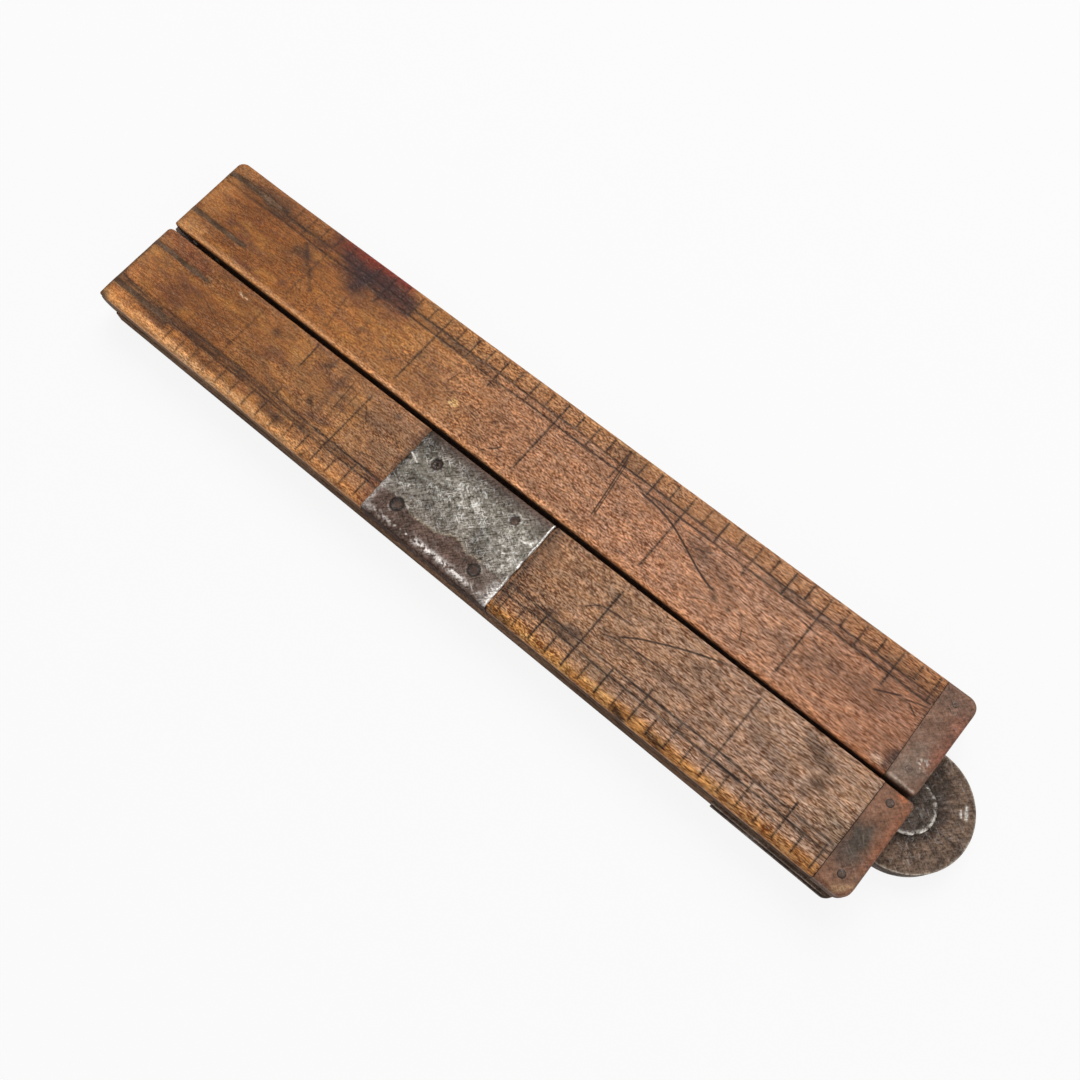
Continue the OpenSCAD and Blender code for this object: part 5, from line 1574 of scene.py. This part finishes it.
leaf_metal = metal_finish("joint_brass_top", 41, 0.45, contrast=1.1, rough=(0.9, 0.4), relief=0.45)
leaf = mesh_piece("worn_joint_leaf", joined([leaf_disc(face + rim, 300), leaf_tail()]), leaf_metal)
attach(leaf, "near_lower")
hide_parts("joint_top_leaf")

# %% [markdown]
# ## The pivot with its hub
# The hub is a steel button, a little hollow on top, whose rim is chipped bare and painted bright, a
# painted highlight that is strongest on one side. It is turned like the nails, only larger.

# %% Pivot with its hub
HUB_TOP, HUB_HOLLOW_R, SHAFT_R = -4.27, 3.6, 1.6


def hub_paint(x, y, r, h):
    """Brown-grey with dark clouds, and a rim chipped bare and painted bright, strongest on one side as a
    painted highlight.
    """
    a = np.arctan2(y - pivot[1], x - pivot[0])
    big, mid, fine = clouds(x, y, (2.5, 0.9, 0.35), 141)
    c = toned((80, 68, 60), 1 + 0.35 * big + 0.35 * mid + 0.3 * fine)
    c = over(c, (50, 44, 38), 0.6 * smooth(0.0, 0.7, big - 0.4 * mid))
    lip = ridge(r - 3.9, 0.28) * smooth(-0.2, 0.3, mid + fine)
    # painted highlight: the chipped rim is brightest on the side the light falls on
    c = over(c, (236, 230, 220), 0.95 * lip * (0.35 + 0.65 * ridge(a - 0.35, 0.9)))
    return painted(over(c, (58, 48, 41), 0.8 * (h > -4.05)), np.maximum(0.4 + 0.3 * big, lip))


hub = [(0.05, HUB_TOP)]
hub += [(r, HUB_TOP - 0.02 * (r / HUB_HOLLOW_R) ** 2) for r in np.arange(0.3, HUB_HOLLOW_R, 0.22)]
hub += [(3.66, -4.30), (3.82, -4.29), (3.95, -4.25), (4.04, -4.19), (4.09, -4.1), (4.1, -4.0), (4.1, -3.9),
        (SHAFT_R, -3.88), (SHAFT_R, -2.0), (SHAFT_R, -0.9), (2.5, -0.12), (2.4, -0.1), (0.05, -0.1)]
hub_metal = metal_finish("hub_steel", 45, 0.5, contrast=1.2, rough=(0.85, 0.34), pit=0.6)
hub_shell = turned(hub, pivot, 120, NEAR, 0.045, 151, hub_paint, top=0.0)
hub_piece = mesh_piece("knocked_pivot_hub", hub_shell, hub_metal)
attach(hub_piece, "near_lower")
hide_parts("joint_pivot")

# %% [markdown]
# ## Finishes for the solids that stay
# The lower legs, the other two leaves, the straps and the small pins keep their exact solids. They
# get the same finishes, in versions that read only object coordinates. The scribed scales of the
# lower legs are real grooves, and their floors lie at known heights, so the shader darkens those.

# %% Finishes for solids
UNDER_GROOVES, UPPER_GROOVES = (0.05, 0.16), (3.84, 3.95)


def dirty_grooves(made, low, high):
    """Darkens what lies between two heights in mm."""
    tree = made.node_tree
    shader = tree.nodes["Principled BSDF"]
    z = wire(tree, "SeparateXYZ", {0: wire(tree, "TexCoord", out="Object")}, 2) * (1 / MM)
    inside = reckon("GREATER_THAN", z, low) * reckon("LESS_THAN", z, high)
    colour = Wire(shader.inputs["Base Color"].links[0].from_socket)
    plug(shader, "Base Color", blend(inside * 0.75, colour, rgba((50, 38, 30))))


far_lower_finish = wood_finish("far_lower_wood", 13, base=(124, 87, 62))
near_lower_finish = wood_finish("near_lower_wood", 15, base=(114, 87, 67))
for made in (far_lower_finish, near_lower_finish):
    dirty_grooves(made, *UNDER_GROOVES)
    dirty_grooves(made, *UPPER_GROOVES)
finish_by_word = {
    "far_lower_leg": far_lower_finish,
    "near_lower_leg": near_lower_finish,
    "joint_middle_leaf": metal_finish("joint_brass", 51, 0.2, base=(84, 66, 54), rough=(0.85, 0.6)),
    "joint_bottom_leaf": metal_finish("joint_brass_under", 53, 0.2, base=(92, 74, 60), rough=(0.85, 0.6)),
    "strap": metal_finish("strap_brass", 55, 0.1, base=(94, 68, 47), contrast=0.7, pit=0.5,
                          rough=(0.85, 0.6), relief=0.12, hairlines=0.15),
    "cross": metal_finish("cross_pin", 59, 0.4, base=(96, 80, 62), pit=0.3),
    "tail": metal_finish("tail_rivet", 61, 0.45, base=(118, 98, 78), pit=0.4),
    "knuckle": metal_finish("pin_steel", 57, 0.3, base=(72, 60, 50), contrast=0.7, pit=0.4,
                            rough=(0.8, 0.55), relief=0.12, hairlines=0.2)}
dressed = 0
for name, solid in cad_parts.items():
    found = [made for word, made in finish_by_word.items() if word in name][:1]
    for made in found:
        for material_slot in solid.material_slots:
            material_slot.material = made
    dressed += len(found)
print("solids with a finish of their own:", dressed)
